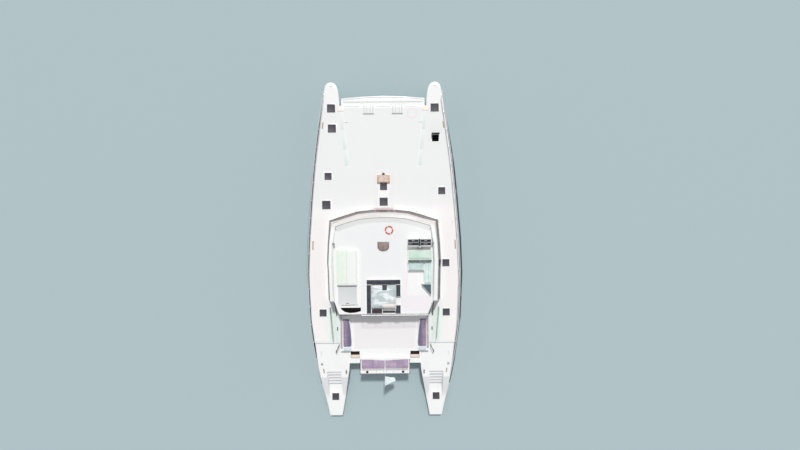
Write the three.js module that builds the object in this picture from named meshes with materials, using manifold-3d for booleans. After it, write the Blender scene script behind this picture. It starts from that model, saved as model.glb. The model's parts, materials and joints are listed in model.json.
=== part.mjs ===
// A twin-hulled motor yacht with a raised open steering deck, in millimetres.
// +Y points to the bows, +X to starboard, +Z up; the origin is amidships on the waterline.
import * as THREE from "three";
import { mergeVertices } from "three/addons/utils/BufferGeometryUtils.js";
import Module from "manifold-3d";

const wasm = await Module();
wasm.setup();

// Driving dimensions
const GAP = 0.3; // between faces that touch
const DECK = 2300; // main deck above the water
const AFT_DECK = 2150; // hull decks behind the step
const PLATFORM = 750; // bathing platforms
const TUNNEL = 1000; // lowest corner of the bridge between the hulls
const KEEL_X = 4650; // centreline of a hull
const BEAM_Y = 13200; // where the forward beam meets the bridge deck
const TRANSOM_Y = -9900; // back of the bridge deck
const HOUSE_TOP = 4280; // top of the deckhouse walls
const ROOF = 4500; // floor of the upper deck
const HOUSE_MID = 3500; // height at which the deckhouse outline is given
const BULKHEAD_Y = -2750; // glazed back wall of the saloon
const WALL = 100;
const SILL = 2930;
const HEAD = 4070;
const SHAFT_Z = -1050;
const PROPELLER_Y = -12050;
const RUDDER_Y = -12900;

// Finishes
const finish = (color, roughness, metalness = 0) =>
  new THREE.MeshStandardMaterial({ color, roughness, metalness });
const gelcoat = finish(0xf2f2f2, 0.25);
const coaming = finish(0xf5f5f2, 0.3);
const acrylic = finish(0x4b464e, 0.1);
const steel = finish(0xd8dadc, 0.2, 1);
const bronze = finish(0xb08d57, 0.35, 1);
const tan = finish(0xc9b08c, 0.6);
const mint = finish(0xd6efe4, 0.8);
const charcoal = finish(0x373c46, 0.9);
const mauve = finish(0x9d8ba6, 0.85);
const glass = finish(0x2b2f33, 0.05);
const paleGlass = finish(0xcfe9dd, 0.1);
const cover = finish(0xbecdcd, 0.8);
const brown = finish(0x96827d, 0.7);
const orange = finish(0xd8502a, 0.6);
const flagCloth = finish(0xd8f4f2, 0.9);
const timber = finish(0xb98f62, 0.6);

const yacht = new THREE.Group();

// Solid of a closed geometry, with its faces turned outwards
function solid(geometry) {
  const bare = geometry.clone();
  bare.deleteAttribute("normal");
  bare.deleteAttribute("uv");
  const merged = mergeVertices(bare, 1e-2);
  const vertProperties = merged.attributes.position.array;
  const triVerts = new Uint32Array(merged.index.array);
  const made = new wasm.Manifold(new wasm.Mesh({ numProp: 3, vertProperties, triVerts }));
  if (made.volume() > 0) return made;
  for (let i = 0; i < triVerts.length; i += 3) {
    [triVerts[i + 1], triVerts[i + 2]] = [triVerts[i + 2], triVerts[i + 1]];
  }
  return new wasm.Manifold(new wasm.Mesh({ numProp: 3, vertProperties, triVerts }));
}

const joined = (first, ...others) => others.reduce((sum, next) => sum.add(next), first);
const without = (first, ...others) => others.reduce((rest, next) => rest.subtract(next), first);

// Named mesh of a solid, in the group that places it
function addPart(name, shape, material, parent = yacht) {
  const { vertProperties, triVerts } = shape.getMesh();
  const geometry = new THREE.BufferGeometry();
  geometry.setAttribute("position", new THREE.BufferAttribute(new Float32Array(vertProperties), 3));
  geometry.setIndex(new THREE.BufferAttribute(new Uint32Array(triVerts), 1));
  geometry.computeVertexNormals();
  const mesh = new THREE.Mesh(geometry, material);
  mesh.name = name;
  parent.add(mesh);
  return mesh;
}

// Block between two corners
function block([x0, y0, z0], [x1, y1, z1]) {
  const geometry = new THREE.BoxGeometry(x1 - x0, y1 - y0, z1 - z0);
  geometry.translate((x0 + x1) / 2, (y0 + y1) / 2, (z0 + z1) / 2);
  return solid(geometry);
}

// Straight bar of round section between two points
function bar(from, to, radius, sides = 8) {
  const a = new THREE.Vector3(...from);
  const b = new THREE.Vector3(...to);
  const along = b.clone().sub(a);
  const geometry = new THREE.CylinderGeometry(radius, radius, along.length(), sides);
  const turn = new THREE.Quaternion().setFromUnitVectors(new THREE.Vector3(0, 1, 0), along.normalize());
  geometry.applyQuaternion(turn);
  geometry.translate((a.x + b.x) / 2, (a.y + b.y) / 2, (a.z + b.z) / 2);
  return solid(geometry);
}

// Upright prism of a plan outline
function prism(outline, bottom, top) {
  const shape = new THREE.Shape(outline.map(([x, y]) => new THREE.Vector2(x, y)));
  const geometry = new THREE.ExtrudeGeometry(shape, { depth: top - bottom, bevelEnabled: false });
  geometry.translate(0, 0, bottom);
  return solid(geometry);
}

// Prism across the boat of an outline seen from the side, given as y and z
function crossPrism(outline, port, starboard) {
  const shape = new THREE.Shape(outline.map(([y, z]) => new THREE.Vector2(y, z)));
  const geometry = new THREE.ExtrudeGeometry(shape, { depth: starboard - port, bevelEnabled: false });
  const axes = [new THREE.Vector3(0, 1, 0), new THREE.Vector3(0, 0, 1), new THREE.Vector3(1, 0, 0)];
  geometry.applyMatrix4(new THREE.Matrix4().makeBasis(...axes));
  geometry.translate(port, 0, 0);
  return solid(geometry);
}

// Closed skin through flat sections with one number of points; flatten gives a section's plane
function loft(sections, flatten) {
  const count = sections[0].length;
  const index = [];
  for (let s = 0; s < sections.length - 1; s++) {
    for (let i = 0; i < count; i++) {
      const a = s * count + i;
      const b = s * count + ((i + 1) % count);
      index.push(a, b, b + count, a, b + count, a + count);
    }
  }
  for (const [s, reversed] of [[0, true], [sections.length - 1, false]]) {
    const contour = sections[s].map(flatten);
    const turn = Math.sign(THREE.ShapeUtils.area(contour)) * (reversed ? -1 : 1);
    for (const face of THREE.ShapeUtils.triangulateShape(contour, [])) {
      const kept = Math.sign(THREE.ShapeUtils.area(face.map((i) => contour[i]))) === turn;
      const [a, b, c] = kept ? face : [face[0], face[2], face[1]];
      index.push(s * count + a, s * count + b, s * count + c);
    }
  }
  const geometry = new THREE.BufferGeometry();
  const positions = new Float32Array(sections.flat().flatMap((p) => [p.x, p.y, p.z]));
  geometry.setAttribute("position", new THREE.BufferAttribute(positions, 3));
  geometry.setIndex(index);
  return solid(geometry);
}
const acrossFlat = (p) => new THREE.Vector2(p.x, p.z);
const planFlat = (p) => new THREE.Vector2(p.x, p.y);
const mirrored = (shape) => shape.mirror([1, 0, 0]);

// Hull stations from the bow tip to the end of the bathing platform
const HULL_STATIONS = [
  // y, outer deck edge, inner deck edge, deck height, knuckle beyond the edge, chine half breadth, chine height, keel
  [15180, 4770, 4530, 2450, 0, 40, 900, 700],
  [15100, 4950, 4350, 2440, 20, 90, 600, 100],
  [14950, 5110, 4170, 2425, 60, 150, 400, -350],
  [14560, 5210, 4020, 2395, 110, 260, 250, -750],
  [13670, 5370, 3905, 2325, 180, 460, 250, -1050],
  [13300, 5430, 3900, DECK, 205, 540, 250, -1110],
  [13200, 5440, 3900, DECK, 210, 560, 250, -1120],
  [12600, 5500, 3770, DECK, 240, 680, 250, -1180],
  [10980, 5705, 3595, DECK, 300, 900, 250, -1250],
  [9200, 5940, 3403, DECK, 350, 1060, 250, -1250],
  [7600, 6120, 3230, DECK, 380, 1150, 250, -1250],
  [4730, 6370, 3210, DECK, 400, 1230, 250, -1250],
  [1150, 6630, 3200, DECK, 400, 1280, 250, -1250],
  [-1980, 6720, 3195, DECK, 400, 1290, 250, -1230],
  [-6000, 6540, 3185, DECK, 380, 1260, 250, -1180],
  [-8100, 6260, 3180, DECK, 340, 1200, 250, -1080],
  [-8120, 6258, 3180, AFT_DECK, 340, 1199, 250, -1079],
  [TRANSOM_Y, 6040, 3180, AFT_DECK, 300, 1120, 250, -920],
  [-10600, 5925, 3240, AFT_DECK, 270, 1060, 250, -830],
  [-11200, 5820, 3340, AFT_DECK, 250, 1010, 250, -740],
  [-12900, 5600, 3630, 1000, 180, 860, 250, -480],
  [-13400, 5520, 3710, PLATFORM, 150, 800, 250, -410],
  [-15100, 5130, 4020, PLATFORM, 60, 480, 250, -180],
];

// Row of the stations at any y, by straight lines between them
function hullAt(y) {
  const next = HULL_STATIONS.findIndex(([station]) => station <= y);
  const after = HULL_STATIONS[Math.max(next, 1)];
  const before = HULL_STATIONS[Math.max(next, 1) - 1];
  const share = (y - before[0]) / (after[0] - before[0]);
  return before.map((value, i) => value + (after[i] - value) * share);
}

function hullSection([y, outer, inner, deck, knuckle, half, chine, keel]) {
  const side = Math.min(1200, deck - 350);
  const tunnel = Math.min(TUNNEL, deck - 350);
  const bilge = chine + (keel - chine) * 0.62;
  const sole = Math.min(70, half * 0.6);
  const outline = [
    [inner, deck],
    [outer, deck],
    [outer + knuckle, side],
    [KEEL_X + half * 1.05, chine],
    [KEEL_X + half * 0.85, bilge],
    [KEEL_X + sole, keel],
    [KEEL_X - sole, keel],
    [KEEL_X - half * 0.85, bilge],
    [KEEL_X - half * 1.05, chine],
    [inner, tunnel],
  ];
  return outline.map(([x, z]) => new THREE.Vector3(x, y, z));
}

// Deck hatches: each lid turns on its forward edge, and one is stored standing open
const HATCHES = [
  // name, x, y, side of the square lid
  ["hatch_bow_port", -4630, 12900, 720],
  ["hatch_bow_starboard", 4630, 12900, 720],
  ["hatch_fore_port", -4570, 11100, 720],
  ["hatch_fore_starboard", 4670, 10170, 720],
  ["hatch_cabin_port", -4950, 6830, 620],
  ["hatch_cabin_starboard", 5200, 5460, 620],
  ["hatch_mid_port", -5130, 4270, 740],
  ["hatch_mid_starboard", 5505, -980, 620],
  ["hatch_side_port", -5500, -5380, 620],
  ["hatch_side_starboard", 5500, -5380, 620],
  ["hatch_stern_port", -4630, -13350, 620],
  ["hatch_stern_starboard", 4630, -13350, 620],
  ["hatch_centre_fore", 0, 5870, 620],
  ["hatch_centre_aft", 0, 4520, 720],
];
const OPEN_HATCH = "hatch_fore_starboard";
const FRAME_HEIGHT = 25;
const FRAME_MARGIN = 50;
const LID_THICK = 30;
const HATCH_DEPTH = 350;
const hatchDeck = (y) => (y < -12000 ? PLATFORM : DECK);
const onHull = ([, x], side) => x * side > KEEL_X / 2;
const onBridge = ([, x]) => x === 0;

// Raised frame with the hinge upstand at its forward edge
function hatchFrame([, x, y, size]) {
  const deck = hatchDeck(y);
  const half = size / 2;
  const reach = half + FRAME_MARGIN;
  const pivot = deck + FRAME_HEIGHT + GAP + LID_THICK;
  const rim = block([x - reach, y - reach, deck - 30], [x + reach, y + reach, deck + FRAME_HEIGHT]);
  const upstand = block([x - size / 4, y + half + GAP, deck - 30], [x + size / 4, y + half + 40, pivot]);
  return rim.add(upstand);
}

function hatchWell([, x, y, size]) {
  const deck = hatchDeck(y);
  const half = size / 2 - 60;
  return block([x - half, y - half, deck - HATCH_DEPTH], [x + half, y + half, deck + FRAME_HEIGHT + 20]);
}

function addHatchLids() {
  for (const [name, x, y, size] of HATCHES) {
    const hinge = new THREE.Group();
    hinge.position.set(x, y + size / 2, hatchDeck(y) + FRAME_HEIGHT + GAP + LID_THICK);
    hinge.rotation.x = name === OPEN_HATCH ? -Math.PI / 2 : 0;
    yacht.add(hinge);
    addPart(name, block([-size / 2, -size, -LID_THICK], [size / 2, 0, 0]), acrylic, hinge);
  }
}

// Skeg that carries the propeller shaft, with a round boss at its end
function skeg() {
  const fin = crossPrism(
    [[-5500, -1050], [-8200, -1500], [-11500, -1500], [-11700, -1150], [-11700, -600], [-9000, -800]],
    KEEL_X - 80,
    KEEL_X + 80,
  );
  const boss = bar([KEEL_X, -10900, SHAFT_Z], [KEEL_X, -11720, SHAFT_Z], 130, 16);
  return fin.add(boss);
}

// Steps moulded into the stern, down to the bathing platform
const STEP_COUNT = 5;
const STEP_RUN = 340;
const STEP_FROM = -10700;
const STEP_INNER = 3950;
const STEP_OUTER = 5200;
function sternSteps() {
  const rise = (AFT_DECK - PLATFORM) / STEP_COUNT;
  const cuts = Array.from({ length: STEP_COUNT }, (_, i) =>
    block([STEP_INNER, -13450, AFT_DECK - rise * (i + 1)], [STEP_OUTER, STEP_FROM - STEP_RUN * i, 3000]),
  );
  return joined(...cuts);
}

function hull(side) {
  const skin = loft(HULL_STATIONS.map(hullSection), acrossFlat);
  const bore = bar([KEEL_X, RUDDER_Y, -900], [KEEL_X, RUDDER_Y, -200], 48, 16);
  const moulded = without(joined(skin, skeg()), sternSteps(), bore);
  const placed = side < 0 ? mirrored(moulded) : moulded;
  const hatches = HATCHES.filter((row) => onHull(row, side));
  return without(joined(placed, ...hatches.map(hatchFrame)), ...hatches.map(hatchWell));
}

// Deck between the hulls, with its arched underside
const BRIDGE_STATIONS = [
  // y, half width, underside at the middle, underside at the hulls
  [BEAM_Y - GAP, 3730, 1900, 1850],
  [12600, 3770 - GAP, 1450, 1350],
  [11500, 3651.2 - GAP, 1180, 1050],
  [10980, 3595 - GAP, 1150, TUNNEL],
  [9200, 3403 - GAP, 1150, TUNNEL],
  [7600, 3230 - GAP, 1150, TUNNEL],
  [4730, 3210 - GAP, 1150, TUNNEL],
  [1150, 3200 - GAP, 1150, TUNNEL],
  [-1980, 3195 - GAP, 1150, TUNNEL],
  [-6000, 3185 - GAP, 1150, TUNNEL],
  [-8100, 3180 - GAP, 1150, TUNNEL],
  [TRANSOM_Y, 3180 - GAP, 1250, TUNNEL],
];
const AFT_SHELF_Y = -10860;
const FOLD_RAIL_X = 1290;
const FOLD_RAIL_HALF = 400;
const FOLD_PIVOT = [13120, DECK + 60];
const BARREL = 30;

function bridgeSection([y, half, middle, corner]) {
  const outline = [
    [-half, DECK],
    [half, DECK],
    [half, corner],
    [half - 450, middle],
    [-half + 450, middle],
    [-half, corner],
  ];
  return outline.map(([x, z]) => new THREE.Vector3(x, y, z));
}

function bridgeDeck() {
  const slab = loft(BRIDGE_STATIONS.map(bridgeSection), acrossFlat);
  const shelf = block([-2200, AFT_SHELF_Y, 1950], [2200, TRANSOM_Y + 100, DECK]);
  const pad = block([-1080, 3990, DECK - 50], [1080, 7300, DECK + 15]);
  const [pivotY, pivotZ] = FOLD_PIVOT;
  const saddles = [-1, 1].flatMap((side) =>
    [-1, 1].map((leg) => {
      const x = side * FOLD_RAIL_X + leg * FOLD_RAIL_HALF;
      return block([x - 45, pivotY - 40, DECK - 20], [x + 45, pivotY + 40, pivotZ - BARREL - GAP]);
    }),
  );
  const wells = [-1, 1].map((side) =>
    block([side * 2670 - 400, -9450, DECK - 300], [side * 2670 + 400, -8840, DECK + 50]),
  );
  const hatches = HATCHES.filter(onBridge);
  const raised = joined(slab, shelf, pad, ...saddles, ...hatches.map(hatchFrame));
  return without(raised, ...wells, ...hatches.map(hatchWell));
}

// Forward beam between the bows, with a shallow tray in its top
function bowBeam() {
  const front = [[-3730, 13780], [-2000, 13920], [0, 13990], [2000, 13920], [3730, 13780]];
  const body = prism([[-3730, BEAM_Y], [3730, BEAM_Y], ...front.slice().reverse()], 1850, DECK);
  const trayFront = front.map(([x, y]) => [x * 0.97, y - 120]);
  const tray = prism([[-3600, BEAM_Y + 60], [3600, BEAM_Y + 60], ...trayFront.reverse()], DECK - 60, DECK + 50);
  return without(body, tray);
}

// Guard rail along the outer deck edge, coming down to the bulwark at the stern
const RAIL_HEIGHT = 1000;
const RAIL_INSET = 30;
const RAIL_FROM = 14100;
const RAIL_LEVEL_TO = -8000;
const RAIL_TO = -11000;
const STANCHION_PITCH = 1570;
function railTop(y) {
  if (y > RAIL_LEVEL_TO) return hullAt(y)[3] + RAIL_HEIGHT;
  const share = (RAIL_LEVEL_TO - y) / (RAIL_LEVEL_TO - RAIL_TO);
  return (DECK + RAIL_HEIGHT) * (1 - share) + (hullAt(RAIL_TO)[3] + 120) * share;
}
function guardRail() {
  const stops = Math.floor((RAIL_FROM - RAIL_TO) / STANCHION_PITCH);
  const ys = Array.from({ length: stops + 1 }, (_, i) => RAIL_FROM - i * STANCHION_PITCH);
  const points = [...ys, RAIL_TO].map((y) => new THREE.Vector3(hullAt(y)[1] - RAIL_INSET, y, railTop(y)));
  const path = new THREE.CatmullRomCurve3(points);
  const section = new THREE.Shape().absarc(0, 0, 42, 0, Math.PI * 2);
  const options = { steps: 48, curveSegments: 4, extrudePath: path, bevelEnabled: false };
  const rail = solid(new THREE.ExtrudeGeometry(section, options));
  const posts = [...ys, RAIL_TO + 60].map((y) => {
    const foot = Math.max(hullAt(y + 25)[3], hullAt(y - 25)[3]) + GAP;
    const x = hullAt(y)[1] - RAIL_INSET;
    return bar([x, y, foot], [x, y, railTop(y)], 22);
  });
  return joined(rail, ...posts);
}

// Windlass box with its drum
function windlass() {
  const base = DECK + 15 + GAP;
  const box = block([-575, 6240, base], [575, 6870, base + 330]);
  const drum = bar([0, 6990, base], [0, 6990, base + 260], 125, 16);
  const neck = block([-60, 6850, base], [60, 6950, base + 120]);
  return joined(box, drum, neck);
}

// Deckhouse outline at HOUSE_MID, starboard half from the middle of the windscreen to the back
const HOUSE_HALF = [
  // x, y, share of the side rake, share of the front rake
  [0, 3700, 0, 1],
  [1000, 3690, 0.2, 1],
  [2200, 3570, 0.45, 1],
  [3450, 3200, 0.75, 1],
  [4630, 2820, 1, 0.6],
  [4800, 800, 1, 0],
  [4870, -800, 1, 0],
  [4830, -1450, 1, 0],
  [4760, -4100, 1, 0],
];
const SIDE_RAKE = 0.22;
const FRONT_RAKE = 0.236;

function houseOutline(z, inset, back) {
  const half = HOUSE_HALF.map(([x, y, side, front], i) => {
    const last = i === HOUSE_HALF.length - 1;
    const outX = x + side * ((HOUSE_MID - z) * SIDE_RAKE - inset);
    const outY = last ? back : y + front * ((HOUSE_MID - z) * FRONT_RAKE - inset);
    return new THREE.Vector3(outX, outY, z);
  });
  const port = half.slice(1).reverse().map((p) => new THREE.Vector3(-p.x, p.y, p.z));
  return [...half, ...port];
}
const houseLoft = (bottom, top, inset, back) =>
  loft([houseOutline(bottom, inset, back), houseOutline(top, inset, back)], planFlat);

const GLASS_THICK = 20;
const HOUSE_BACK = -4100;
const DOORWAY_HALF = 1500;
const DOORWAY_TOP = 4150;
const TRACK_TOP = 2320;
const SIDE_WINDOWS = [[-3950, -2920], [-2600, -700], [-520, 780], [960, 2350]];
const FRONT_WINDOWS = [[-4100, -830], [-600, 850], [1050, 4100]];

function deckhouse() {
  const floor = DECK + GAP;
  const shell = houseLoft(floor, HOUSE_TOP, 0, HOUSE_BACK);
  const room = houseLoft(floor - 200, HOUSE_TOP + 200, WALL, HOUSE_BACK - 400);
  const rebate = without(
    houseLoft(SILL, HEAD, -60, HOUSE_BACK - 60),
    houseLoft(SILL - 50, HEAD + 50, GLASS_THICK, HOUSE_BACK - 600),
  );
  const bulkhead = block([-4850, BULKHEAD_Y - 80, floor], [4850, BULKHEAD_Y, HOUSE_TOP]);
  const inside = houseLoft(floor, HOUSE_TOP, WALL / 2, HOUSE_BACK);
  const walls = joined(without(shell, room), bulkhead.intersect(inside));
  const doorway = block([-DOORWAY_HALF, BULKHEAD_Y - 200, floor - 100], [DOORWAY_HALF, BULKHEAD_Y + 100, DOORWAY_TOP]);
  const sides = SIDE_WINDOWS.flatMap(([back, front]) =>
    [-1, 1].map((side) => {
      const near = Math.min(side * 4300, side * 5300);
      return block([near, back, SILL + 50], [near + 1000, front, HEAD - 50]);
    }),
  );
  const fronts = FRONT_WINDOWS.map(([port, starboard]) =>
    block([port, 2300, SILL + 50], [starboard, 4400, HEAD - 50]),
  );
  const track = block([-1650, BULKHEAD_Y - 140, floor], [1650, BULKHEAD_Y - 10, TRACK_TOP]);
  return joined(without(walls, rebate, doorway, ...sides, ...fronts), track);
}

function wrapGlass() {
  return without(
    houseLoft(SILL + GAP, HEAD - GAP, 0, HOUSE_BACK + 20),
    houseLoft(SILL - 50, HEAD + 50, GLASS_THICK - GAP, HOUSE_BACK - 600),
  );
}

// Sliding saloon door, stored open in front of the fixed pane
const DOOR_PORT = -1550;
const DOOR_WIDTH = 1550;
function addSaloonDoor() {
  const back = BULKHEAD_Y - 80;
  const pane = block([-DOORWAY_HALF + GAP, back + 25, TRACK_TOP + GAP], [-20, back + 45, DOORWAY_TOP - GAP]);
  addPart("saloon_fixed_pane", pane, glass);
  const leaf = block([0, back - 45, TRACK_TOP + GAP], [DOOR_WIDTH, back - 5, DOORWAY_TOP + 50]);
  addPart("saloon_door", leaf, glass).position.x = DOOR_PORT;
}

// Simple saloon furniture behind the windows
function addSaloonFurniture() {
  const floor = DECK + GAP;
  const seat = block([-4300, -2300, floor], [-3500, 1500, floor + 430]);
  const returnSeat = block([-3600, 800, floor], [-1800, 1500, floor + 430]);
  const backrest = block([-4400, -2300, floor], [-4200, 1500, floor + 820]);
  addPart("saloon_sofa", joined(seat, returnSeat, backrest), mauve);
  const counter = block([2600, -2000, floor], [3300, 1200, floor + 900]);
  const worktop = block([2550, -2050, floor + 880], [3350, 1250, floor + 930]);
  addPart("saloon_counter", joined(counter, worktop), timber);
}

// Upper deck, with moulded seat boxes, the sunpad plinth and the stairwell
const ROOF_HALF = [
  [0, 3516],
  [985, 3506],
  [2125, 3386],
  [3325, 3016],
  [4460, 2640],
  [4630, 800],
  [4700, -800],
  [4660, -1450],
  [4590, -4000],
  [4190, -4150],
  [3820, -5160],
];
const STAIRWELL = [[-3650, -2900], [-2300, -2900], [-2300, -4350], [-1990, -4450], [-1990, -4900]];
const STAIRWELL_CURVE = [[-2400, -4960], [-2900, -4990], [-3300, -4900], [-3550, -4700], [-3650, -4450]];
const SEAT_WIDTH = 420;
const LOUNGE_HALF = 1460;
const LOUNGE_FRONT = -2180;
const LOUNGE_BACK = -5060;
const SEAT_BOX = 330;
const CUSHION = 130;
const SUNPAD = { x0: -4000, x1: -2220, y0: -2700, y1: 400, plinth: 230 };
// Plan of the C-shaped lounge seat and of the corner seat across the walkway
function loungePlan(trim) {
  const o = LOUNGE_HALF - trim;
  const i = LOUNGE_HALF - SEAT_WIDTH + trim;
  const front = LOUNGE_FRONT - trim;
  const back = LOUNGE_BACK + trim;
  const frontIn = LOUNGE_FRONT - SEAT_WIDTH + trim;
  const backIn = LOUNGE_BACK + SEAT_WIDTH - trim;
  const wide = [
    [-100 - trim, back], [-100 - trim, backIn], [-i, backIn], [-i, frontIn], [i, frontIn],
    [i, -3630 + trim], [o, -3630 + trim], [o, front], [-o, front], [-o, back],
  ];
  const corner = [
    [1000 + trim, back], [o, back], [o, -4340 - trim], [i, -4340 - trim], [i, backIn], [1000 + trim, backIn],
  ];
  return { wide, corner };
}

function upperDeck() {
  const half = ROOF_HALF;
  const port = half.slice(1).reverse().map(([x, y]) => [-x, y]);
  const slab = prism([...half, ...port], HOUSE_TOP + GAP, ROOF);
  const { wide, corner } = loungePlan(10);
  const seats = [wide, corner].map((plan) => prism(plan, ROOF - 40, ROOF + SEAT_BOX));
  const { x0, x1, y0, y1, plinth } = SUNPAD;
  const sunBase = block([x0 + 20, y0 + 20, ROOF - 40], [x1 - 20, y1 - 20, ROOF + plinth]);
  const well = prism([...STAIRWELL, ...STAIRWELL_CURVE], HOUSE_TOP - 100, ROOF + 100);
  return joined(without(joined(slab, ...seats, sunBase), well), ...struts());
}

// Raked struts that carry the after corners of the upper deck
const STRUT_LINES = [
  // foot and head of the axis on the starboard side
  [[4270, -5660, DECK - 50], [4250, -4060, HOUSE_TOP + 20]],
  [[3975, -5545, DECK - 50], [4080, -4300, HOUSE_TOP + 20]],
];
const STRUT_RADIUS = 38;
function struts() {
  const below = block([3500, -6500, DECK - 200], [4500, -5000, DECK + GAP]);
  return STRUT_LINES.flatMap(([foot, head]) => {
    const strut = without(bar(foot, head, STRUT_RADIUS), below);
    return [strut, mirrored(strut)];
  });
}

// Bulwark round the front and sides of the upper deck
const BULWARK_HALF = [
  // x and y outside at the foot, x and y outside at the top, x and y inside, height
  [0, 3516, 0, 3350, 0, 3060, 260],
  [985, 3506, 965, 3340, 940, 3045, 260],
  [2125, 3386, 2085, 3220, 1985, 2940, 265],
  [3325, 3016, 3260, 2870, 3080, 2650, 285],
  [4460, 2640, 4350, 2540, 4050, 2330, 340],
  [4630, 800, 4540, 790, 4250, 780, 560],
  [4700, -800, 4610, -800, 4290, -800, 650],
  [4660, -1450, 4575, -1450, 4260, -1450, 650],
  [4590, -4000, 4500, -3950, 4180, -4000, 620],
];
function bulwark() {
  const ring = (columnX, rise, extra = 0) => {
    const half = BULWARK_HALF.map((row, i) => {
      const last = i === BULWARK_HALF.length - 1;
      return new THREE.Vector3(row[columnX], row[columnX + 1] - (last ? extra : 0), ROOF + rise(row[6]));
    });
    const port = half.slice(1).reverse().map((p) => new THREE.Vector3(-p.x, p.y, p.z));
    return [...half, ...port];
  };
  const outside = loft([ring(0, () => GAP), ring(2, (height) => height)], planFlat);
  const inside = loft([ring(4, () => -100, 300), ring(4, (height) => height + 100, 300)], planFlat);
  return without(outside, inside);
}

// Rail across the back of the upper deck
const UPPER_RAIL_Y = -5115;
function upperRail() {
  const z = ROOF + 900;
  const stops = [
    [-1850, UPPER_RAIL_Y], [-650, UPPER_RAIL_Y], [550, UPPER_RAIL_Y], [1850, UPPER_RAIL_Y],
    [3700, UPPER_RAIL_Y], [4080, -4180],
  ];
  const rails = stops.slice(1).map(([x, y], i) => bar([...stops[i], z], [x, y, z], 20));
  const posts = stops.map(([x, y]) => bar([x, y, ROOF + GAP], [x, y, z], 20));
  const balls = stops.map(([x, y]) => solid(new THREE.SphereGeometry(24, 8, 6).translate(x, y, z)));
  return joined(...rails, ...posts, ...balls);
}

// Helm with its wheel, double seat and L-shaped settee behind it
const HELM_PIVOT = [3100, 480, ROOF + 760];
function addHelm() {
  const floor = ROOF + GAP;
  const profile = [[1300, floor], [620, floor], [560, floor + 700], [640, floor + 860], [1250, floor + 1000]];
  const desk = crossPrism(profile, 2100, 4050);
  const [hubX, hubY, hubZ] = HELM_PIVOT;
  const hub = bar([hubX, hubY + 25, hubZ], [hubX, hubY + 300, hubZ], 60, 12);
  addPart("helm_console", joined(desk, hub), gelcoat);

  const wheel = new THREE.Group();
  wheel.position.set(...HELM_PIVOT);
  yacht.add(wheel);
  const rim = new THREE.TorusGeometry(250, 20, 8, 24).rotateX(Math.PI / 2);
  const spokes = [0, 1, 2].map((i) => {
    const angle = Math.PI / 2 + (i * Math.PI * 2) / 3;
    return bar([0, 0, 0], [250 * Math.cos(angle), 0, 250 * Math.sin(angle)], 12);
  });
  const nave = bar([0, -25, 0], [0, 25 - GAP, 0], 50, 12);
  addPart("helm_wheel", joined(solid(rim), nave, ...spokes), charcoal, wheel);

  const seat = block([2100, -460, floor], [4020, 300, floor + 420]);
  const back = block([2100, -700, floor], [4020, -520, floor + 800]);
  const web = block([2100, -540, floor], [4020, -440, floor + 420]);
  const settee = block([2100, -1440, floor], [4020, -690, floor + 420]);
  const leg = block([3450, -2580, floor], [4020, -1400, floor + 420]);
  const corner = prism([[3230, -2560], [4020, -2560], [4020, -3510]], floor, floor + 420);
  addPart("helm_seat_moulding", joined(seat, back, web, settee, leg, corner), gelcoat);

  const padTop = floor + 420 + GAP;
  addPart("helm_seat_cushion", block([2110, -490, padTop], [4010, 300, padTop + CUSHION]), mint);
  const plan = [
    [2110, -710], [4010, -710], [4010, -3500], [3240, -2570], [3460, -2570], [3460, -1440], [2110, -1440],
  ];
  addPart("helm_settee_cushion", prism(plan, padTop, padTop + CUSHION), mint);
}

// Loose things on the upper deck
function addUpperDeckFittings() {
  const { wide, corner } = loungePlan(0);
  const seatTop = ROOF + SEAT_BOX + GAP;
  addPart("lounge_cushion", prism(wide, seatTop, seatTop + CUSHION), charcoal);
  addPart("lounge_corner_cushion", prism(corner, seatTop, seatTop + CUSHION), charcoal);

  const tableZ = ROOF + 720;
  const top = block([-800, -4380, tableZ], [800, -2860, tableZ + 40]);
  const foot = bar([0, -3620, ROOF + GAP], [0, -3620, tableZ + 10], 90, 12);
  addPart("lounge_table", joined(top, foot), cover);

  const { x0, x1, y0, y1, plinth } = SUNPAD;
  addPart("sunpad_cushion", block([x0, y0, ROOF + plinth + GAP], [x1, y1, ROOF + plinth + 150]), mint);

  const padBase = ROOF + GAP;
  const arc = Array.from({ length: 9 }, (_, i) => {
    const angle = Math.PI + (i * Math.PI) / 8;
    return [530 * Math.cos(angle), 560 + 400 * Math.sin(angle)];
  });
  addPart("roof_pad", prism([[530, 1030], [-530, 1030], ...arc], padBase, padBase + 110), brown);

  const ring = new THREE.TorusGeometry(315, 55, 8, 24).translate(500, 2000, ROOF + 55 + GAP);
  addPart("lifebuoy", solid(ring), orange);

  const lid = new THREE.Group();
  lid.position.set(0, -2770, ROOF + GAP + 60);
  yacht.add(lid);
  addPart("stair_hatch", block([-3930, -1570, -60], [-2240, 0, 0]), cover, lid);
}

// Stair from the cockpit to the upper deck
const STAIR_STEPS = 9;
const STAIR_RUN = 235;
const STAIR_FRONT = -2920;
function stair() {
  const rise = (ROOF - DECK) / (STAIR_STEPS + 1);
  const back = STAIR_FRONT - STAIR_STEPS * STAIR_RUN;
  const outline = [[back, DECK + GAP]];
  for (let i = 0; i < STAIR_STEPS; i++) {
    const z = DECK + rise * (i + 1);
    outline.push([back + i * STAIR_RUN, z], [back + (i + 1) * STAIR_RUN, z]);
  }
  outline.push([STAIR_FRONT, DECK + rise * STAIR_STEPS - 300], [back + 330, DECK + GAP]);
  return crossPrism(outline, -3500, -2600);
}

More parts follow.
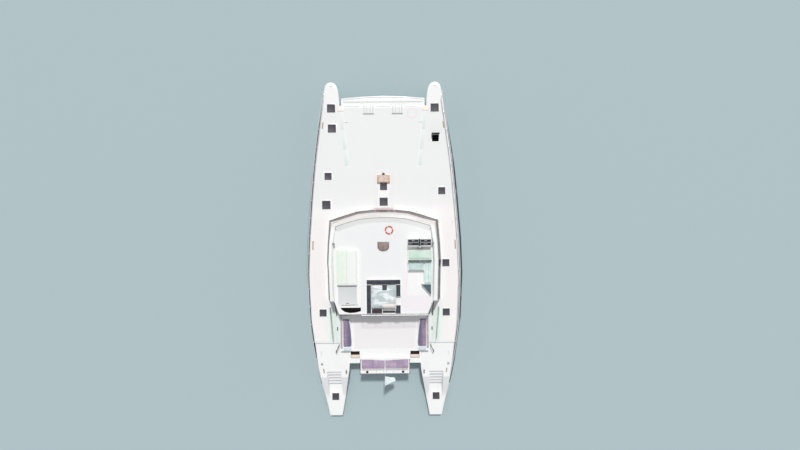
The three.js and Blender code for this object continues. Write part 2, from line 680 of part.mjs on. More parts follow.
// Cockpit seats, the aft bench on its shelf and the side screens
function addCockpit() {
  for (const [side, word] of [[-1, "port"], [1, "starboard"]]) {
    const bench = (outer, back) => [
      [side * 3070, -5600], [side * outer, -5600], [side * outer, back], [side * 2940, back],
    ];
    const box = prism(bench(3900, -8720), DECK + GAP, DECK + 400);
    const rest = block(
      [Math.min(side * 3735, side * 3885), -8350, DECK + 390],
      [Math.max(side * 3735, side * 3885), -5620, DECK + 680],
    );
    const skirt = block(
      [Math.min(side * 3250, side * 3870), -8720, AFT_DECK + GAP],
      [Math.max(side * 3250, side * 3870), -8150, DECK + 50],
    );
    addPart(`side_bench_${word}`, joined(box, skirt, rest), gelcoat);
    addPart(`side_cushion_${word}`, prism(bench(3725, -8350), DECK + 400 + GAP, DECK + 540), mauve);
    const screen = prism(
      [[side * 4830, -4850], [side * 4570, -7670], [side * 4550, -7670], [side * 4810, -4850]],
      DECK + GAP,
      DECK + 900,
    );
    addPart(`side_screen_${word}`, screen, paleGlass);
    const near = side < 0 ? -2130 : 12;
    const cushion = block([near, -10330, DECK + 400 + GAP], [near + 2118, -9430, DECK + 540]);
    addPart(`aft_cushion_${word}`, cushion, mauve);
  }
  const seat = block([-2110, -10360, DECK + GAP], [2110, -9450, DECK + 400]);
  const back = block([-2150, -10590, DECK + GAP], [2150, -10340, DECK + 850]);
  addPart("aft_bench", joined(seat, back), gelcoat);
}

// Staff in a socket behind the aft bench, raked aft, and its flag
const STAFF_FOOT = [0, -10700, DECK + GAP];
const STAFF_TOP = [0, -11480, DECK + 2050];
const STAFF_RADIUS = 18;
function addEnsign() {
  const [x, y, z] = STAFF_FOOT;
  const socket = bar([x, y, z], [x, y, z + 420], 45, 12);
  const pole = bar([x, y, z + 380], STAFF_TOP, STAFF_RADIUS, 8);
  addPart("ensign_staff", joined(socket, pole), steel);
  const hoistX = STAFF_RADIUS + GAP;
  const hoistLow = new THREE.Vector3(hoistX, -10880, DECK + 800);
  const hoistHigh = new THREE.Vector3(hoistX, -11390, DECK + 1850);
  const flyHigh = new THREE.Vector3(950, -11210, DECK + 1000);
  const flyLow = new THREE.Vector3(910, -11160, DECK + 400);
  const near = [hoistLow, hoistHigh, flyHigh, flyLow];
  const thickness = new THREE.Vector3(0, -12, -12);
  const sheet = loft([near, near.map((p) => p.clone().add(thickness))], acrossFlat);
  addPart("ensign", sheet, flagCloth);
}

// Folding rails at the bow, laid flat on the foredeck
function addFoldingRails() {
  for (const [side, word] of [[-1, "port"], [1, "starboard"]]) {
    const pivot = new THREE.Group();
    pivot.position.set(side * FOLD_RAIL_X, ...FOLD_PIVOT);
    yacht.add(pivot);
    const legs = [-1, 1].map((leg) => bar([leg * FOLD_RAIL_HALF, 0, 0], [leg * FOLD_RAIL_HALF, -720, 0], 22));
    const barrels = [-1, 1].map((leg) => {
      const x = leg * FOLD_RAIL_HALF;
      return bar([x - 40, 0, 0], [x + 40, 0, 0], BARREL * 0.99, 16);
    });
    const top = bar([-500, -720, 0], [500, -720, 0], 30);
    addPart(`folding_rail_${word}`, joined(top, ...legs, ...barrels), steel, pivot);
  }
}

// Propeller with its shaft, and the rudder behind it
const BLADES = 4;
const BLADE_RADIUS = 380;
const BLADE_PITCH = 0.62;
function propeller() {
  const profile = [[0, 330], [35, 330], [35, 110], [80, 100], [85, 0], [78, -90], [40, -200], [0, -240]];
  const hub = new THREE.LatheGeometry(profile.map(([r, y]) => new THREE.Vector2(r, y)).reverse(), 16);
  const outline = new THREE.Shape();
  outline.moveTo(-40, 50);
  outline.bezierCurveTo(-170, 150, -150, BLADE_RADIUS - 20, 0, BLADE_RADIUS);
  outline.bezierCurveTo(150, BLADE_RADIUS - 20, 170, 150, 40, 50);
  outline.closePath();
  const blades = Array.from({ length: BLADES }, (_, i) => {
    const blade = new THREE.ExtrudeGeometry(outline, { depth: 16, bevelEnabled: false, curveSegments: 5 });
    blade.translate(0, 0, -8);
    blade.rotateX(Math.PI / 2);
    blade.rotateZ(BLADE_PITCH);
    const spread = new THREE.Matrix4().makeRotationY((i * Math.PI * 2) / BLADES);
    return solid(blade.applyMatrix4(spread));
  });
  return joined(solid(hub), ...blades);
}

function addDrives() {
  for (const [side, word] of [[-1, "port"], [1, "starboard"]]) {
    const screw = side < 0 ? mirrored(propeller()) : propeller();
    const turning = addPart(`propeller_${word}`, screw, bronze);
    turning.position.set(side * KEEL_X, PROPELLER_Y - GAP, SHAFT_Z);
    const stock = bar([0, 0, -560], [0, 0, -200 - GAP], 45, 16);
    const foil = [[280, -560], [300, -600], [260, -1350], [-330, -1350], [-420, -560]];
    const blade = crossPrism(foil, -32, 32);
    const rudder = addPart(`rudder_${word}`, joined(stock, blade), gelcoat);
    rudder.position.set(side * KEEL_X, RUDDER_Y, 0);
  }
}

addPart("hull_port", hull(-1), gelcoat);
addPart("hull_starboard", hull(1), gelcoat);
addPart("bridge_deck", bridgeDeck(), gelcoat);
addPart("bow_beam", bowBeam(), gelcoat);
addPart("guard_rail_port", mirrored(guardRail()), steel);
addPart("guard_rail_starboard", guardRail(), steel);
addPart("windlass", windlass(), tan);
addPart("deckhouse", deckhouse(), gelcoat);
addPart("wrap_glass", wrapGlass(), glass);
addPart("upper_deck", upperDeck(), gelcoat);
addPart("bulwark", bulwark(), coaming);
addPart("upper_rail", upperRail(), steel);
addPart("stair", stair(), gelcoat);
addSaloonDoor();
addSaloonFurniture();
addHelm();
addUpperDeckFittings();
addCockpit();
addEnsign();
addFoldingRails();
addHatchLids();
addDrives();

export default yacht;
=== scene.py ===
import json
import math
from functools import partial

import bpy
from mathutils import Matrix, Vector, noise


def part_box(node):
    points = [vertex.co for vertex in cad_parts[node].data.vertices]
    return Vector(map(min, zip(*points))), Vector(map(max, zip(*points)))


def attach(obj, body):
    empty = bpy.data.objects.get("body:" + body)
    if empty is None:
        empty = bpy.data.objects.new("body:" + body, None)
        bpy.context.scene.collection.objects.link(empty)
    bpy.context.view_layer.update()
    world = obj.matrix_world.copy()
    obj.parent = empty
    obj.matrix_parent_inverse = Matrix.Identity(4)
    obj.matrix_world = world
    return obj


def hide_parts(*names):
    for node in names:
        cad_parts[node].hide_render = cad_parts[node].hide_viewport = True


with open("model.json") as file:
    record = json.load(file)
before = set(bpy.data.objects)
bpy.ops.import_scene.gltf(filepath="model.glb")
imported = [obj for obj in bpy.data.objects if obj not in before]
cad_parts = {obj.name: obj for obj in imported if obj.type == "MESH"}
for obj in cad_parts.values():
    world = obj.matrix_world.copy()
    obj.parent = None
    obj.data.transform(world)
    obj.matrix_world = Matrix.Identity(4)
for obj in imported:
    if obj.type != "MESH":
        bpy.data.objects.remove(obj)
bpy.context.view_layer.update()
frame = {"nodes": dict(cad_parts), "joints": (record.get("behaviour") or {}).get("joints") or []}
nodes = frame["nodes"]
hatch_joints = {j["child"]: j for j in frame["joints"] if j["child"].startswith("hatch_")}

# The camera hangs 50 m above the water and looks straight down, a little forward of amidships and
# to starboard of the centreline. The bows point to the top of the picture.
EYE = (1.44, 2.42, 50.0)
PICTURE_TURN = math.radians(0.52)
bpy.ops.object.camera_add(location=EYE, rotation=(0, 0, -PICTURE_TURN))
camera = bpy.context.object
camera.name = "camera"
camera.data.lens = 24
camera.data.sensor_width = 36
camera.data.clip_end = 500
bpy.context.scene.camera = camera

# A high soft sun that stands ahead of the bows, a pale studio sky, and a pale floor at the
# waterline. The hulls go down through the floor, as they do through the water they float in.
SUN_FORWARD = math.radians(-27)
SUN_STARBOARD = math.radians(3)
FLOOR_COLOUR = (0.40, 0.50, 0.52)
bpy.ops.object.light_add(type="SUN", location=(0, 20, 60), rotation=(SUN_FORWARD, SUN_STARBOARD, 0))
sun = bpy.context.object
sun.data.energy = 2.12
sun.data.angle = math.radians(4)
sun.data.color = (1.0, 0.985, 0.97)
bpy.context.scene.world = bpy.data.worlds.new("studio")
bpy.context.scene.world.use_nodes = True
sky = bpy.context.scene.world.node_tree.nodes["Background"]
sky.inputs["Color"].default_value = (0.94, 0.96, 1.0, 1.0)
sky.inputs["Strength"].default_value = 0.50
bpy.context.scene.view_settings.view_transform = "Standard"

bpy.ops.mesh.primitive_plane_add(size=600, location=(0, 0, 0))
floor = bpy.context.object
floor.name = "studio_floor"
floor_paint = bpy.data.materials.new("studio_floor")
floor_paint.use_nodes = True
floor_paint.node_tree.nodes["Principled BSDF"].inputs["Base Color"].default_value = (*FLOOR_COLOUR, 1)
floor_paint.node_tree.nodes["Principled BSDF"].inputs["Roughness"].default_value = 0.85
floor.data.materials.append(floor_paint)

# The two hulls are hand-laid fibreglass with a glossy white gelcoat. A dark band is sprayed along
# the outside between the knuckle and the sheer, and the bottom has a blue-grey antifouling.
BAND_FROM, BAND_TO = 1.24, 2.26
BAND_START_Y, BAND_END_Y = 14.15, -11.9
BAND_INBOARD = 4.95
BOOT_TOP = 0.16
STRIPE = (0.24, 0.31)
SCUM_TOP = 0.42
SHELL_EDGE = 0.016


class Tone:
    """A value in a material's nodes. Sums on it add Math nodes."""

    def __init__(self, finish, socket):
        self.finish = finish
        self.socket = socket

    def __add__(self, other):
        return self.finish.maths("ADD", self, other)

    def __sub__(self, other):
        return self.finish.maths("SUBTRACT", self, other)

    def __rsub__(self, other):
        return self.finish.maths("SUBTRACT", other, self)

    def __mul__(self, other):
        return self.finish.maths("MULTIPLY", self, other)

    __radd__ = __add__
    __rmul__ = __mul__

    def __abs__(self):
        return self.finish.maths("ABSOLUTE", self)

    def step(self, low, high):
        """0 below low and 1 above high, eased between them; low may be the larger."""
        sockets = {"Value": self, "From Min": low, "From Max": high}
        return self.finish.node("MapRange", {"interpolation_type": "SMOOTHSTEP"}, sockets, "Result")


class Finish:
    """A material. Its nodes are made one at a time, settings first, then sockets."""

    def __init__(self, name, **sockets):
        self.material = bpy.data.materials.new(name)
        self.material.use_nodes = True
        self.tree = self.material.node_tree
        self.shader = self.tree.nodes["Principled BSDF"]
        self.place = self.node("TexCoord", output="Object")
        self.facing = self.node("TexCoord", output="Normal")
        self.set(**sockets)

    def feed(self, socket, value):
        if isinstance(value, Tone):
            self.tree.links.new(value.socket, socket)
        elif socket.type == "RGBA":
            socket.default_value = (*value[:3], 1.0)
        else:
            socket.default_value = value

    def node(self, kind, settings=None, sockets=None, output=0):
        made = self.tree.nodes.new("ShaderNode" + kind)
        for name, value in (settings or {}).items():
            setattr(made, name, value)
        for name, value in (sockets or {}).items():
            self.feed(made.inputs[name], value)
        return Tone(self, made.outputs[output])

    def set(self, **sockets):
        for name, value in sockets.items():
            self.feed(self.shader.inputs[name.replace("_", " ")], value)
        return self

    def maths(self, operation, first, second=0.0):
        return self.node("Math", {"operation": operation}, {0: first, 1: second})

    def axis(self, name, of=None):
        return self.node("SeparateXYZ", {}, {0: of or self.place}, name)

    def stretched(self, scale, turn=0.0):
        sockets = {"Vector": self.place, "Scale": scale, "Rotation": (0, 0, turn)}
        return self.node("Mapping", {}, sockets)

    def noise(self, scale, detail=3.0, rough=0.55, at=None):
        sockets = {"Vector": at or self.place, "Scale": scale, "Detail": detail, "Roughness": rough}
        return self.node("TexNoise", {}, sockets, "Fac")

    def cells(self, scale):
        return self.node("TexVoronoi", {}, {"Vector": self.place, "Scale": scale}, "Distance")

    def mix(self, mask, first, second):
        return self.node("Mix", {"data_type": "RGBA"}, {0: mask, 6: first, 7: second}, 2)

    def colour(self):
        """What its base colour is so far."""
        return Tone(self, self.shader.inputs["Base Color"].links[0].from_socket)

    def bump(self, height, depth):
        """Raises the surface by height times depth metres."""
        sockets = {"Height": height, "Distance": depth, "Strength": 1.0}
        return self.set(Normal=self.node("Bump", {}, sockets, "Normal"))


def alone(*pieces):
    """Deselects everything but these pieces; the first is active."""
    bpy.ops.object.select_all(action="DESELECT")
    for piece in pieces:
        piece.select_set(True)
    bpy.context.view_layer.objects.active = pieces[0]


PARTS = {"FACE": "polygons", "EDGE": "edges", "VERT": "vertices"}


def work(piece, kind, test, *strokes):
    """Picks the faces, edges or points that pass the test, and runs edit-mode strokes on them."""
    alone(piece)
    bpy.ops.object.mode_set(mode="EDIT")
    bpy.ops.mesh.select_mode(type=kind)
    bpy.ops.mesh.select_all(action="DESELECT")
    bpy.ops.object.mode_set(mode="OBJECT")
    for item in getattr(piece.data, PARTS[kind]):
        item.select = test(item)
    bpy.ops.object.mode_set(mode="EDIT")
    for stroke in strokes:
        stroke()
    bpy.ops.object.mode_set(mode="OBJECT")


def modify(piece, kind, **settings):
    """Adds a modifier with these settings and applies it."""
    alone(piece)
    made = piece.modifiers.new(kind, kind)
    for name, value in settings.items():
        setattr(made, name, value)
    bpy.ops.object.modifier_apply(modifier=made.name)


SHARP = math.radians(30)


def soften(piece, edge, segments=2):
    """Rounds the piece's sharp edges."""
    modify(piece, "BEVEL", width=edge, segments=segments, limit_method="ANGLE", angle_limit=SHARP)


def anything(item):
    return True


def copy_of(node, name):
    """A merged copy of a CAD node's mesh, to be finished and shown in its place."""
    piece = bpy.data.objects.new(name, nodes[node].data.copy())
    bpy.context.scene.collection.objects.link(piece)
    piece.data.materials.clear()
    work(piece, "VERT", anything, partial(bpy.ops.mesh.remove_doubles, threshold=0.0002))
    return piece


def flat_faces(piece):
    """Makes one face of triangles that lie in a plane."""
    work(piece, "VERT", anything,
         partial(bpy.ops.mesh.dissolve_limited, angle_limit=math.radians(0.4)))


def settle(piece):
    """Takes the piece's place, turn and size up in its mesh."""
    alone(piece)
    bpy.ops.object.transform_apply(location=True, rotation=True, scale=True)


def dress(piece, *finishes, name=None, body="yacht", slot=None, replaces=(), smooth=32):
    """Settles and smooths a piece, and gives it its name, finishes and body."""
    settle(piece)
    bpy.ops.object.shade_smooth_by_angle(angle=math.radians(smooth))
    if finishes:
        piece.data.materials.clear()
    for finish in finishes:
        piece.data.materials.append(finish.material)
    if name:
        piece.name = name
    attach(piece, body)
    if replaces:
        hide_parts(*replaces)
    return piece


def gelcoat(name, colour=(0.90, 0.905, 0.90), grime=0.5):
    """Glossy white gelcoat with faint rain streaks, a wavy surface and chalky patches."""
    made = Finish(name, IOR=1.5, Coat_Weight=0.25)
    streaks = made.noise(1.1, 4, 0.6, made.stretched((6, 6, 0.7)))
    patches = made.noise(0.35, 5, 0.6)
    dirt = (streaks * 0.5 + patches * 0.5).step(0.52, 0.72) * grime
    stained = tuple(channel * shade for channel, shade in zip(colour, (0.91, 0.92, 0.90)))
    made.set(Base_Color=made.mix(dirt, colour, stained))
    made.set(Roughness=0.18 + made.noise(2.0, 3) * 0.16)
    made.bump(made.noise(7, 2), 0.0012)
    return made


hull_paint = Finish("hull_paint", IOR=1.5, Specular_IOR_Level=0.3)
height = hull_paint.axis("Z")
across = hull_paint.axis("X")
along = hull_paint.axis("Y")
outboard = abs(across)
looks_out = hull_paint.maths("SIGN", across) * hull_paint.axis("X", hull_paint.facing)
band = height.step(BAND_FROM - 0.004, BAND_FROM) * height.step(BAND_TO, BAND_TO - 0.004)
band = band * outboard.step(BAND_INBOARD, BAND_INBOARD + 0.01) * looks_out.step(0.25, 0.3)
band = band * along.step(BAND_START_Y, BAND_START_Y - 0.01)
band = band * along.step(BAND_END_Y, BAND_END_Y + 0.01)
stripe = height.step(STRIPE[0], STRIPE[0] + 0.004) * height.step(STRIPE[1], STRIPE[1] - 0.004)
below = height.step(BOOT_TOP, BOOT_TOP - 0.004)
drips = hull_paint.noise(3, 5, 0.6, hull_paint.stretched((1, 1, 0.3)))
scum = (drips + (SCUM_TOP - height) * 1.1).step(0.62, 0.95)
chalky = hull_paint.noise(0.4, 5, 0.6).step(0.5, 0.7) * 0.5
white = hull_paint.mix(chalky, (0.90, 0.905, 0.90), (0.84, 0.85, 0.84))
white = hull_paint.mix(scum * 0.4, white, (0.62, 0.60, 0.46))
painted = hull_paint.mix(hull_paint.maths("MAXIMUM", band, stripe), white, (0.035, 0.045, 0.052))
slime = hull_paint.mix(hull_paint.noise(5, 4), (0.035, 0.055, 0.075), (0.07, 0.10, 0.10))
hull_paint.set(Base_Color=hull_paint.mix(below, painted, slime))
hull_paint.set(Coat_Weight=(1 - band) * 0.35)
hull_paint.set(Roughness=0.15 + hull_paint.noise(2.5, 3) * 0.12 + below * 0.5 + band * 0.35)
hull_paint.bump(hull_paint.noise(5, 2), 0.0015)

SIDES = (("port", -1), ("starboard", 1))
for side, sign in SIDES:
    hull = copy_of(f"hull_{side}", f"hull_shell_{side}")
    flat_faces(hull)
    soften(hull, SHELL_EDGE)
    dress(hull, hull_paint, slot="gelcoat", replaces=[f"hull_{side}"])

# Non-skid panels cover the open decks. They are moulded in with a fine diamond pattern, a hand's
# breadth in from every edge and frame, so that the smooth gelcoat shows as a border round them.
# Feet have warmed their colour where people walk, and a pink ring stains the foredeck.
GRIP_MARGIN = 0.11
GRIP_RISE = 0.0035
DIAMOND = 55
deck_grip = Finish("deck_grip", IOR=1.45)
weathered = deck_grip.noise(0.55, 6, 0.62).step(0.45, 0.7)
trodden = deck_grip.noise(3.0, 4, 0.6).step(0.55, 0.8)
grip_x, grip_y = abs(deck_grip.axis("X")), deck_grip.axis("Y")
on_roof = deck_grip.axis("Z").step(4.2, 4.3)
in_cockpit = grip_x.step(3.2, 3.1) * grip_y.step(-4.8, -4.9) * (1 - on_roof)
grip_colour = deck_grip.mix(weathered * 0.6, (0.870, 0.872, 0.868), (0.84, 0.84, 0.835))
grip_colour = deck_grip.mix(grip_y.step(3.4, 4.4), grip_colour, (0.805, 0.812, 0.805))
grip_colour = deck_grip.mix(on_roof, grip_colour, (0.825, 0.828, 0.828))
grip_colour = deck_grip.mix(in_cockpit, grip_colour, (0.850, 0.825, 0.830))
walked = grip_x.step(4.2, 4.5) * grip_y.step(-8.6, -7.6) * grip_y.step(6.0, 2.0)
grip_colour = deck_grip.mix(walked, grip_colour, (0.905, 0.868, 0.860))
by_screen = grip_x.step(5.12, 5.06) * grip_x.step(4.0, 4.1) * grip_y.step(-4.5, -5.1) * grip_y.step(-8.08, -8.05)
grip_colour = deck_grip.mix(by_screen, grip_colour, (0.82, 0.90, 0.855))
grip_colour = deck_grip.mix(grip_y.step(13.15, 13.2), grip_colour, (0.88, 0.885, 0.87))
by_helm = deck_grip.axis("X").step(1.58, 1.66) * grip_x.step(4.3, 4.2) * grip_y.step(-1.3, -1.5) * on_roof
grip_colour = deck_grip.mix(by_helm, grip_colour, (0.86, 0.82, 0.845))
RING, RING_RADIUS = (2.60, 12.41), 0.42
ring_x, ring_y = deck_grip.axis("X") - RING[0], grip_y - RING[1]
from_ring = deck_grip.maths("SQRT", ring_x * ring_x + ring_y * ring_y) - RING_RADIUS
ring = abs(from_ring).step(0.10, 0.04) * deck_grip.noise(5, 3).step(0.3, 0.5)
grip_colour = deck_grip.mix(ring * 0.6, grip_colour, (0.86, 0.68, 0.70))
deck_grip.set(Base_Color=deck_grip.mix(trodden * 0.3, grip_colour, (0.78, 0.765, 0.75)))
deck_grip.set(Roughness=0.55 + trodden * 0.2)
turned = deck_grip.stretched((DIAMOND, DIAMOND, DIAMOND), math.radians(45))
diamonds = deck_grip.node("TexChecker", {}, {"Vector": turned, "Scale": 1.0}, "Fac")
deck_grip.bump(diamonds * 0.6 + deck_grip.noise(60, 2) * 0.4, 0.0016)


def added(primitive, **settings):
    """A new mesh primitive, with nothing else selected."""
    bpy.ops.object.select_all(action="DESELECT")
    getattr(bpy.ops.mesh, f"primitive_{primitive}_add")(**settings)
    return bpy.context.object


def inset(width, **settings):
    return partial(bpy.ops.mesh.inset, thickness=width, **settings)


def lift(rise):
    """Raises the picked faces on new sides."""
    return partial(bpy.ops.mesh.extrude_region_move, TRANSFORM_OT_translate={"value": (0, 0, rise)})


def looks_up(face):
    return face.normal.z > 0.9


take_all = partial(bpy.ops.mesh.select_all, action="SELECT")
delete_faces = partial(bpy.ops.mesh.delete, type="FACE")


def plate(outline, bottom, top, name):
    """A flat plate of a plan outline, given anticlockwise."""
    piece = added("circle", vertices=len(outline), fill_type="NGON")
    piece.name = name
    for point, (x, y) in zip(piece.data.vertices, outline):
        point.co = (x, y, bottom)
    work(piece, "FACE", anything,
         lift(top - bottom),
         take_all,
         bpy.ops.mesh.normals_make_consistent)
    return piece


def block(low, high, turn=0.0):
    """A block between two corners, turned about its own upright middle."""
    piece = added("cube", size=1, location=[(a + b) / 2 for a, b in zip(low, high)], rotation=(0, 0, turn))
    piece.scale = [b - a for a, b in zip(low, high)]
    settle(piece)
    return piece


def rounded_block(low, high, edge, segments=2, turn=0.0):
    piece = block(low, high, turn)
    soften(piece, edge, segments)
    return piece


def cut(piece, *cutters):
    """Takes the cutters' shapes out of the piece."""
    for cutter in cutters:
        modify(piece, "BOOLEAN", object=cutter, operation="DIFFERENCE", solver="EXACT")
        bpy.data.objects.remove(cutter)


DECK_Z, AFT_DECK_Z, PLATFORM_Z = 2.30, 2.15, 0.75
OUTER_EDGE = [(13.10, 5.45), (12.6, 5.50), (10.98, 5.705), (9.2, 5.94), (7.6, 6.12), (4.73, 6.37),
              (1.15, 6.63), (-1.98, 6.72), (-6.0, 6.54), (-8.02, 6.27)]
INNER_EDGE = [(-8.02, 4.85), (-4.3, 4.85), (-4.3, 5.10), (-1.4, 5.14), (1.0, 5.08), (3.1, 4.93), (3.7, 3.22),
              (7.6, 3.23), (9.2, 3.403), (10.98, 3.595), (12.6, 3.77), (13.10, 3.878)]
AFT_EDGE = [(-8.12, 6.26), (-9.9, 6.04), (-10.6, 5.925), (-10.6, 3.24), (-9.9, 3.18), (-8.12, 3.18)]
PLATFORM_EDGE = [(-13.40, 5.52), (-15.10, 5.13), (-15.10, 4.02), (-13.40, 3.71)]
FOREDECK_EDGE = [(13.03, 3.64), (12.6, 3.66), (11.5, 3.53), (10.98, 3.48), (9.2, 3.28), (7.6, 3.12), (3.82, 3.12),
                 (4.0, 2.27), (4.12, 1.0)]


def trim_rim(panel, margin, thick):
    """Takes the rim of a plate away, and leaves the middle as thick as it was."""
    work(panel, "FACE", looks_up, inset(margin), partial(bpy.ops.mesh.select_all, action="INVERT"), delete_faces,
         take_all, lift(-thick), take_all, bpy.ops.mesh.normals_make_consistent)


def mirrored(edge):
    """The whole outline of a deck from its starboard half, both given as y and x."""
    return edge + [(y, -x) for y, x in reversed(edge)]


def grip_panel(edge, z, name):
    """A non-skid panel a hand's breadth inside the deck's edge, cut round the hatch frames on it."""
    centre = Vector([sum(values) / len(edge) for values in zip(*edge)])
    panel = plate([(x, y) for y, x in edge], z - 0.005, z + GRIP_RISE, name)
    trim_rim(panel, GRIP_MARGIN, GRIP_RISE + 0.005)
    for hatch, joint in hatch_joints.items():
        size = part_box(hatch)[1].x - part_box(hatch)[0].x
        x, y, top = joint["pos_m"]
        frame_half = size / 2 + 0.05 + 0.06
        y -= size / 2
        if abs(top - z) < 0.1 and x * centre.y > 0:
            cut(panel, rounded_block((x - frame_half, y - frame_half, z - 0.1),
                                     (x + frame_half, y + frame_half, z + 0.1), 0.04))
    return dress(panel, deck_grip, slot="gelcoat")


for side, sign in SIDES:
    along_hull = [(y, sign * x) for y, x in OUTER_EDGE + INNER_EDGE]
    grip_panel(along_hull, DECK_Z, f"deck_grip_{side}")
    grip_panel([(y, sign * x) for y, x in AFT_EDGE], AFT_DECK_Z, f"aft_deck_grip_{side}")
    grip_panel([(y, sign * x) for y, x in PLATFORM_EDGE], PLATFORM_Z, f"platform_grip_{side}")
grip_panel(mirrored(FOREDECK_EDGE), DECK_Z, "foredeck_grip")
COAMING_Z = 2.315
COAMING_EDGE = [(-1.06, 4.01), (1.06, 4.01), (1.06, 7.28), (-1.06, 7.28)]
coaming_grip = plate(COAMING_EDGE, COAMING_Z - 0.005, COAMING_Z + GRIP_RISE, "coaming_grip")
cut(coaming_grip, rounded_block((-0.66, 5.9, 2.2), (0.66, 7.10, 2.4), 0.03),
    rounded_block((-0.50, 4.02, 2.2), (0.50, 6.0, 2.4), 0.03))
dress(coaming_grip, deck_grip, slot="gelcoat")
WAIST_EDGE = [(2.96, 7.62), (3.38, 7.62), (3.38, 3.90), (2.96, 3.90)]
for side, sign in SIDES:
    waist = plate([(sign * x, y) for x, y in WAIST_EDGE], DECK_Z - 0.005, DECK_Z + GRIP_RISE + 0.0004,
                  f"waist_grip_{side}")
    dress(waist, deck_grip, slot="gelcoat")
grip_panel([(-3.0, 2.85), (-8.7, 2.85), (-8.7, -2.85), (-3.0, -2.85)], DECK_Z, "cockpit_grip")
BOW_EDGE = [(13.16, 5.445), (13.67, 5.37), (14.56, 5.21), (14.86, 5.10), (14.98, 4.90), (15.0, 4.64), (14.88, 4.30),
            (14.56, 4.02), (13.67, 3.905), (13.16, 3.90)]
BOW_RISE = 0.0757
for side, sign in SIDES:
    bow = grip_panel([(y, sign * x) for y, x in BOW_EDGE], DECK_Z + 0.002, f"bow_grip_{side}")
    for point in bow.data.vertices:
        point.co.z += max(0.0, point.co.y - 13.3) * BOW_RISE

# The bridge deck ties the hulls together and is one sandwich moulding with them. It carries the
# deckhouse, has a coaming under the windlass, and two step wells beside the aft bench.
bridge_gelcoat = gelcoat("bridge_gelcoat")


def refinish(finish, *names):
    """Gives CAD nodes that are shown as they are a finish of their own."""
    for name in names:
        nodes[name].data.materials.clear()
        nodes[name].data.materials.append(finish.material)


refinish(bridge_gelcoat, "bridge_deck")

# Each joint between hull and foredeck is a shallow gutter with a pale green sealing strip. At the
# bow a sun-faded tan fairing covers the bolts where the forward beam meets the hull.
GUTTER_WIDE = 0.155
SEAM = [(3.72, 12.55), (3.60, 10.98), (3.40, 9.20), (3.24, 7.75)]


def mottled(name, colours=None, blotch=(5, 4), eased=None, rough=None, grain=None, **sockets):
    """A finish blotched between two colours, with its roughness and its fine grain from noise.

    blotch is a noise's scale and detail, and eased is where its blotches begin and end. rough is the
    least roughness, a noise's scale and detail, and what it adds at most. grain is a noise's scale
    and detail, and its depth in metres.
    """
    made = Finish(name, **sockets)
    if colours:
        mask = made.noise(*blotch)
        made.set(Base_Color=made.mix(mask.step(*eased) if eased else mask, *colours))
    if rough:
        least, scale, detail, spread = rough
        made.set(Roughness=least + made.noise(scale, detail) * spread)
    if grain:
        scale, detail, depth = grain
        made.bump(made.noise(scale, detail), depth)
    return made


gutter_rubber = mottled("gutter_rubber", ((0.70, 0.78, 0.75), (0.79, 0.84, 0.82)), (3, 4),
                        grain=(40, 2, 0.001), Roughness=0.6)
faded_tan = mottled("faded_tan", ((0.86, 0.77, 0.70), (0.91, 0.88, 0.83)), (3, 4), (0.4, 0.65),
                    grain=(30, 3, 0.001), Roughness=0.5)


def join(pieces, name):
    """Makes one piece of several."""
    alone(*pieces)
    bpy.ops.object.transform_apply(location=True, rotation=True, scale=True)
    bpy.ops.object.join()
    pieces[0].name = name
    return pieces[0]


steel = mottled("polished_steel", rough=(0.26, 9, 4, 0.16), grain=(30, 2, 0.0002), Metallic=0.9,
                Base_Color=(0.88, 0.885, 0.89))


def tube(name, runs, radius, sides=3):
    """A tube along each run of points."""
    curve = bpy.data.curves.new(name, "CURVE")
    curve.dimensions = "3D"
    curve.bevel_depth = radius
    curve.bevel_resolution = sides
    curve.use_fill_caps = True
    for run in runs:
        spline = curve.splines.new("POLY")
        spline.points.add(len(run) - 1)
        for point, spot in zip(spline.points, run):
            point.co = (*spot, 1.0)
    piece = bpy.data.objects.new(name, curve)
    bpy.context.scene.collection.objects.link(piece)
    alone(piece)
    bpy.ops.object.convert(target="MESH")
    return piece


def push(depth):
    """Moves the picked faces out along their normals, on new sides."""
    return partial(bpy.ops.mesh.extrude_region_shrink_fatten, TRANSFORM_OT_shrink_fatten={"value": depth})


def ring_foot(spot, radius, height):
    """A turned round foot: a short cylinder with a shoulder."""
    middle = Vector(spot) + Vector((0, 0, height / 2))
    piece = added("cylinder", vertices=20, radius=radius, depth=height, location=middle)
    work(piece, "FACE", looks_up, inset(radius * 0.25), push(height * 0.5))
    return piece


for side, sign in SIDES:
    lengths = []
    for (x0, y0), (x1, y1) in zip(SEAM, SEAM[1:]):
        middle = Vector(((x0 + x1) / 2 * sign, (y0 + y1) / 2, DECK_Z + 0.004))
        run = math.hypot(x1 - x0, y1 - y0)
        strip = rounded_block(middle - Vector((GUTTER_WIDE, run / 2, 0.006)),
                              middle + Vector((GUTTER_WIDE, run / 2, 0.004)), 0.003,
                              turn=-sign * math.atan2(x0 - x1, y0 - y1))
        lengths.append(strip)
    dress(join(lengths, f"gutter_strip_{side}"), gutter_rubber, slot="gelcoat")
    outline = [(sign * x, y) for x, y in ((3.48, 12.62), (4.06, 12.62), (4.10, 13.10), (3.62, 13.12))]
    fairing = plate(outline, DECK_Z - 0.01, DECK_Z + 0.035, f"beam_fairing_{side}")
    soften(fairing, 0.02, 3)
    bolts = [ring_foot((sign * x, y, DECK_Z + 0.033), 0.022, 0.008) for x in (3.66, 3.96) for y in (12.72, 13.0)]
    dress(join([fairing, *bolts], f"beam_fairing_{side}"), faded_tan, slot="windlass_cover")

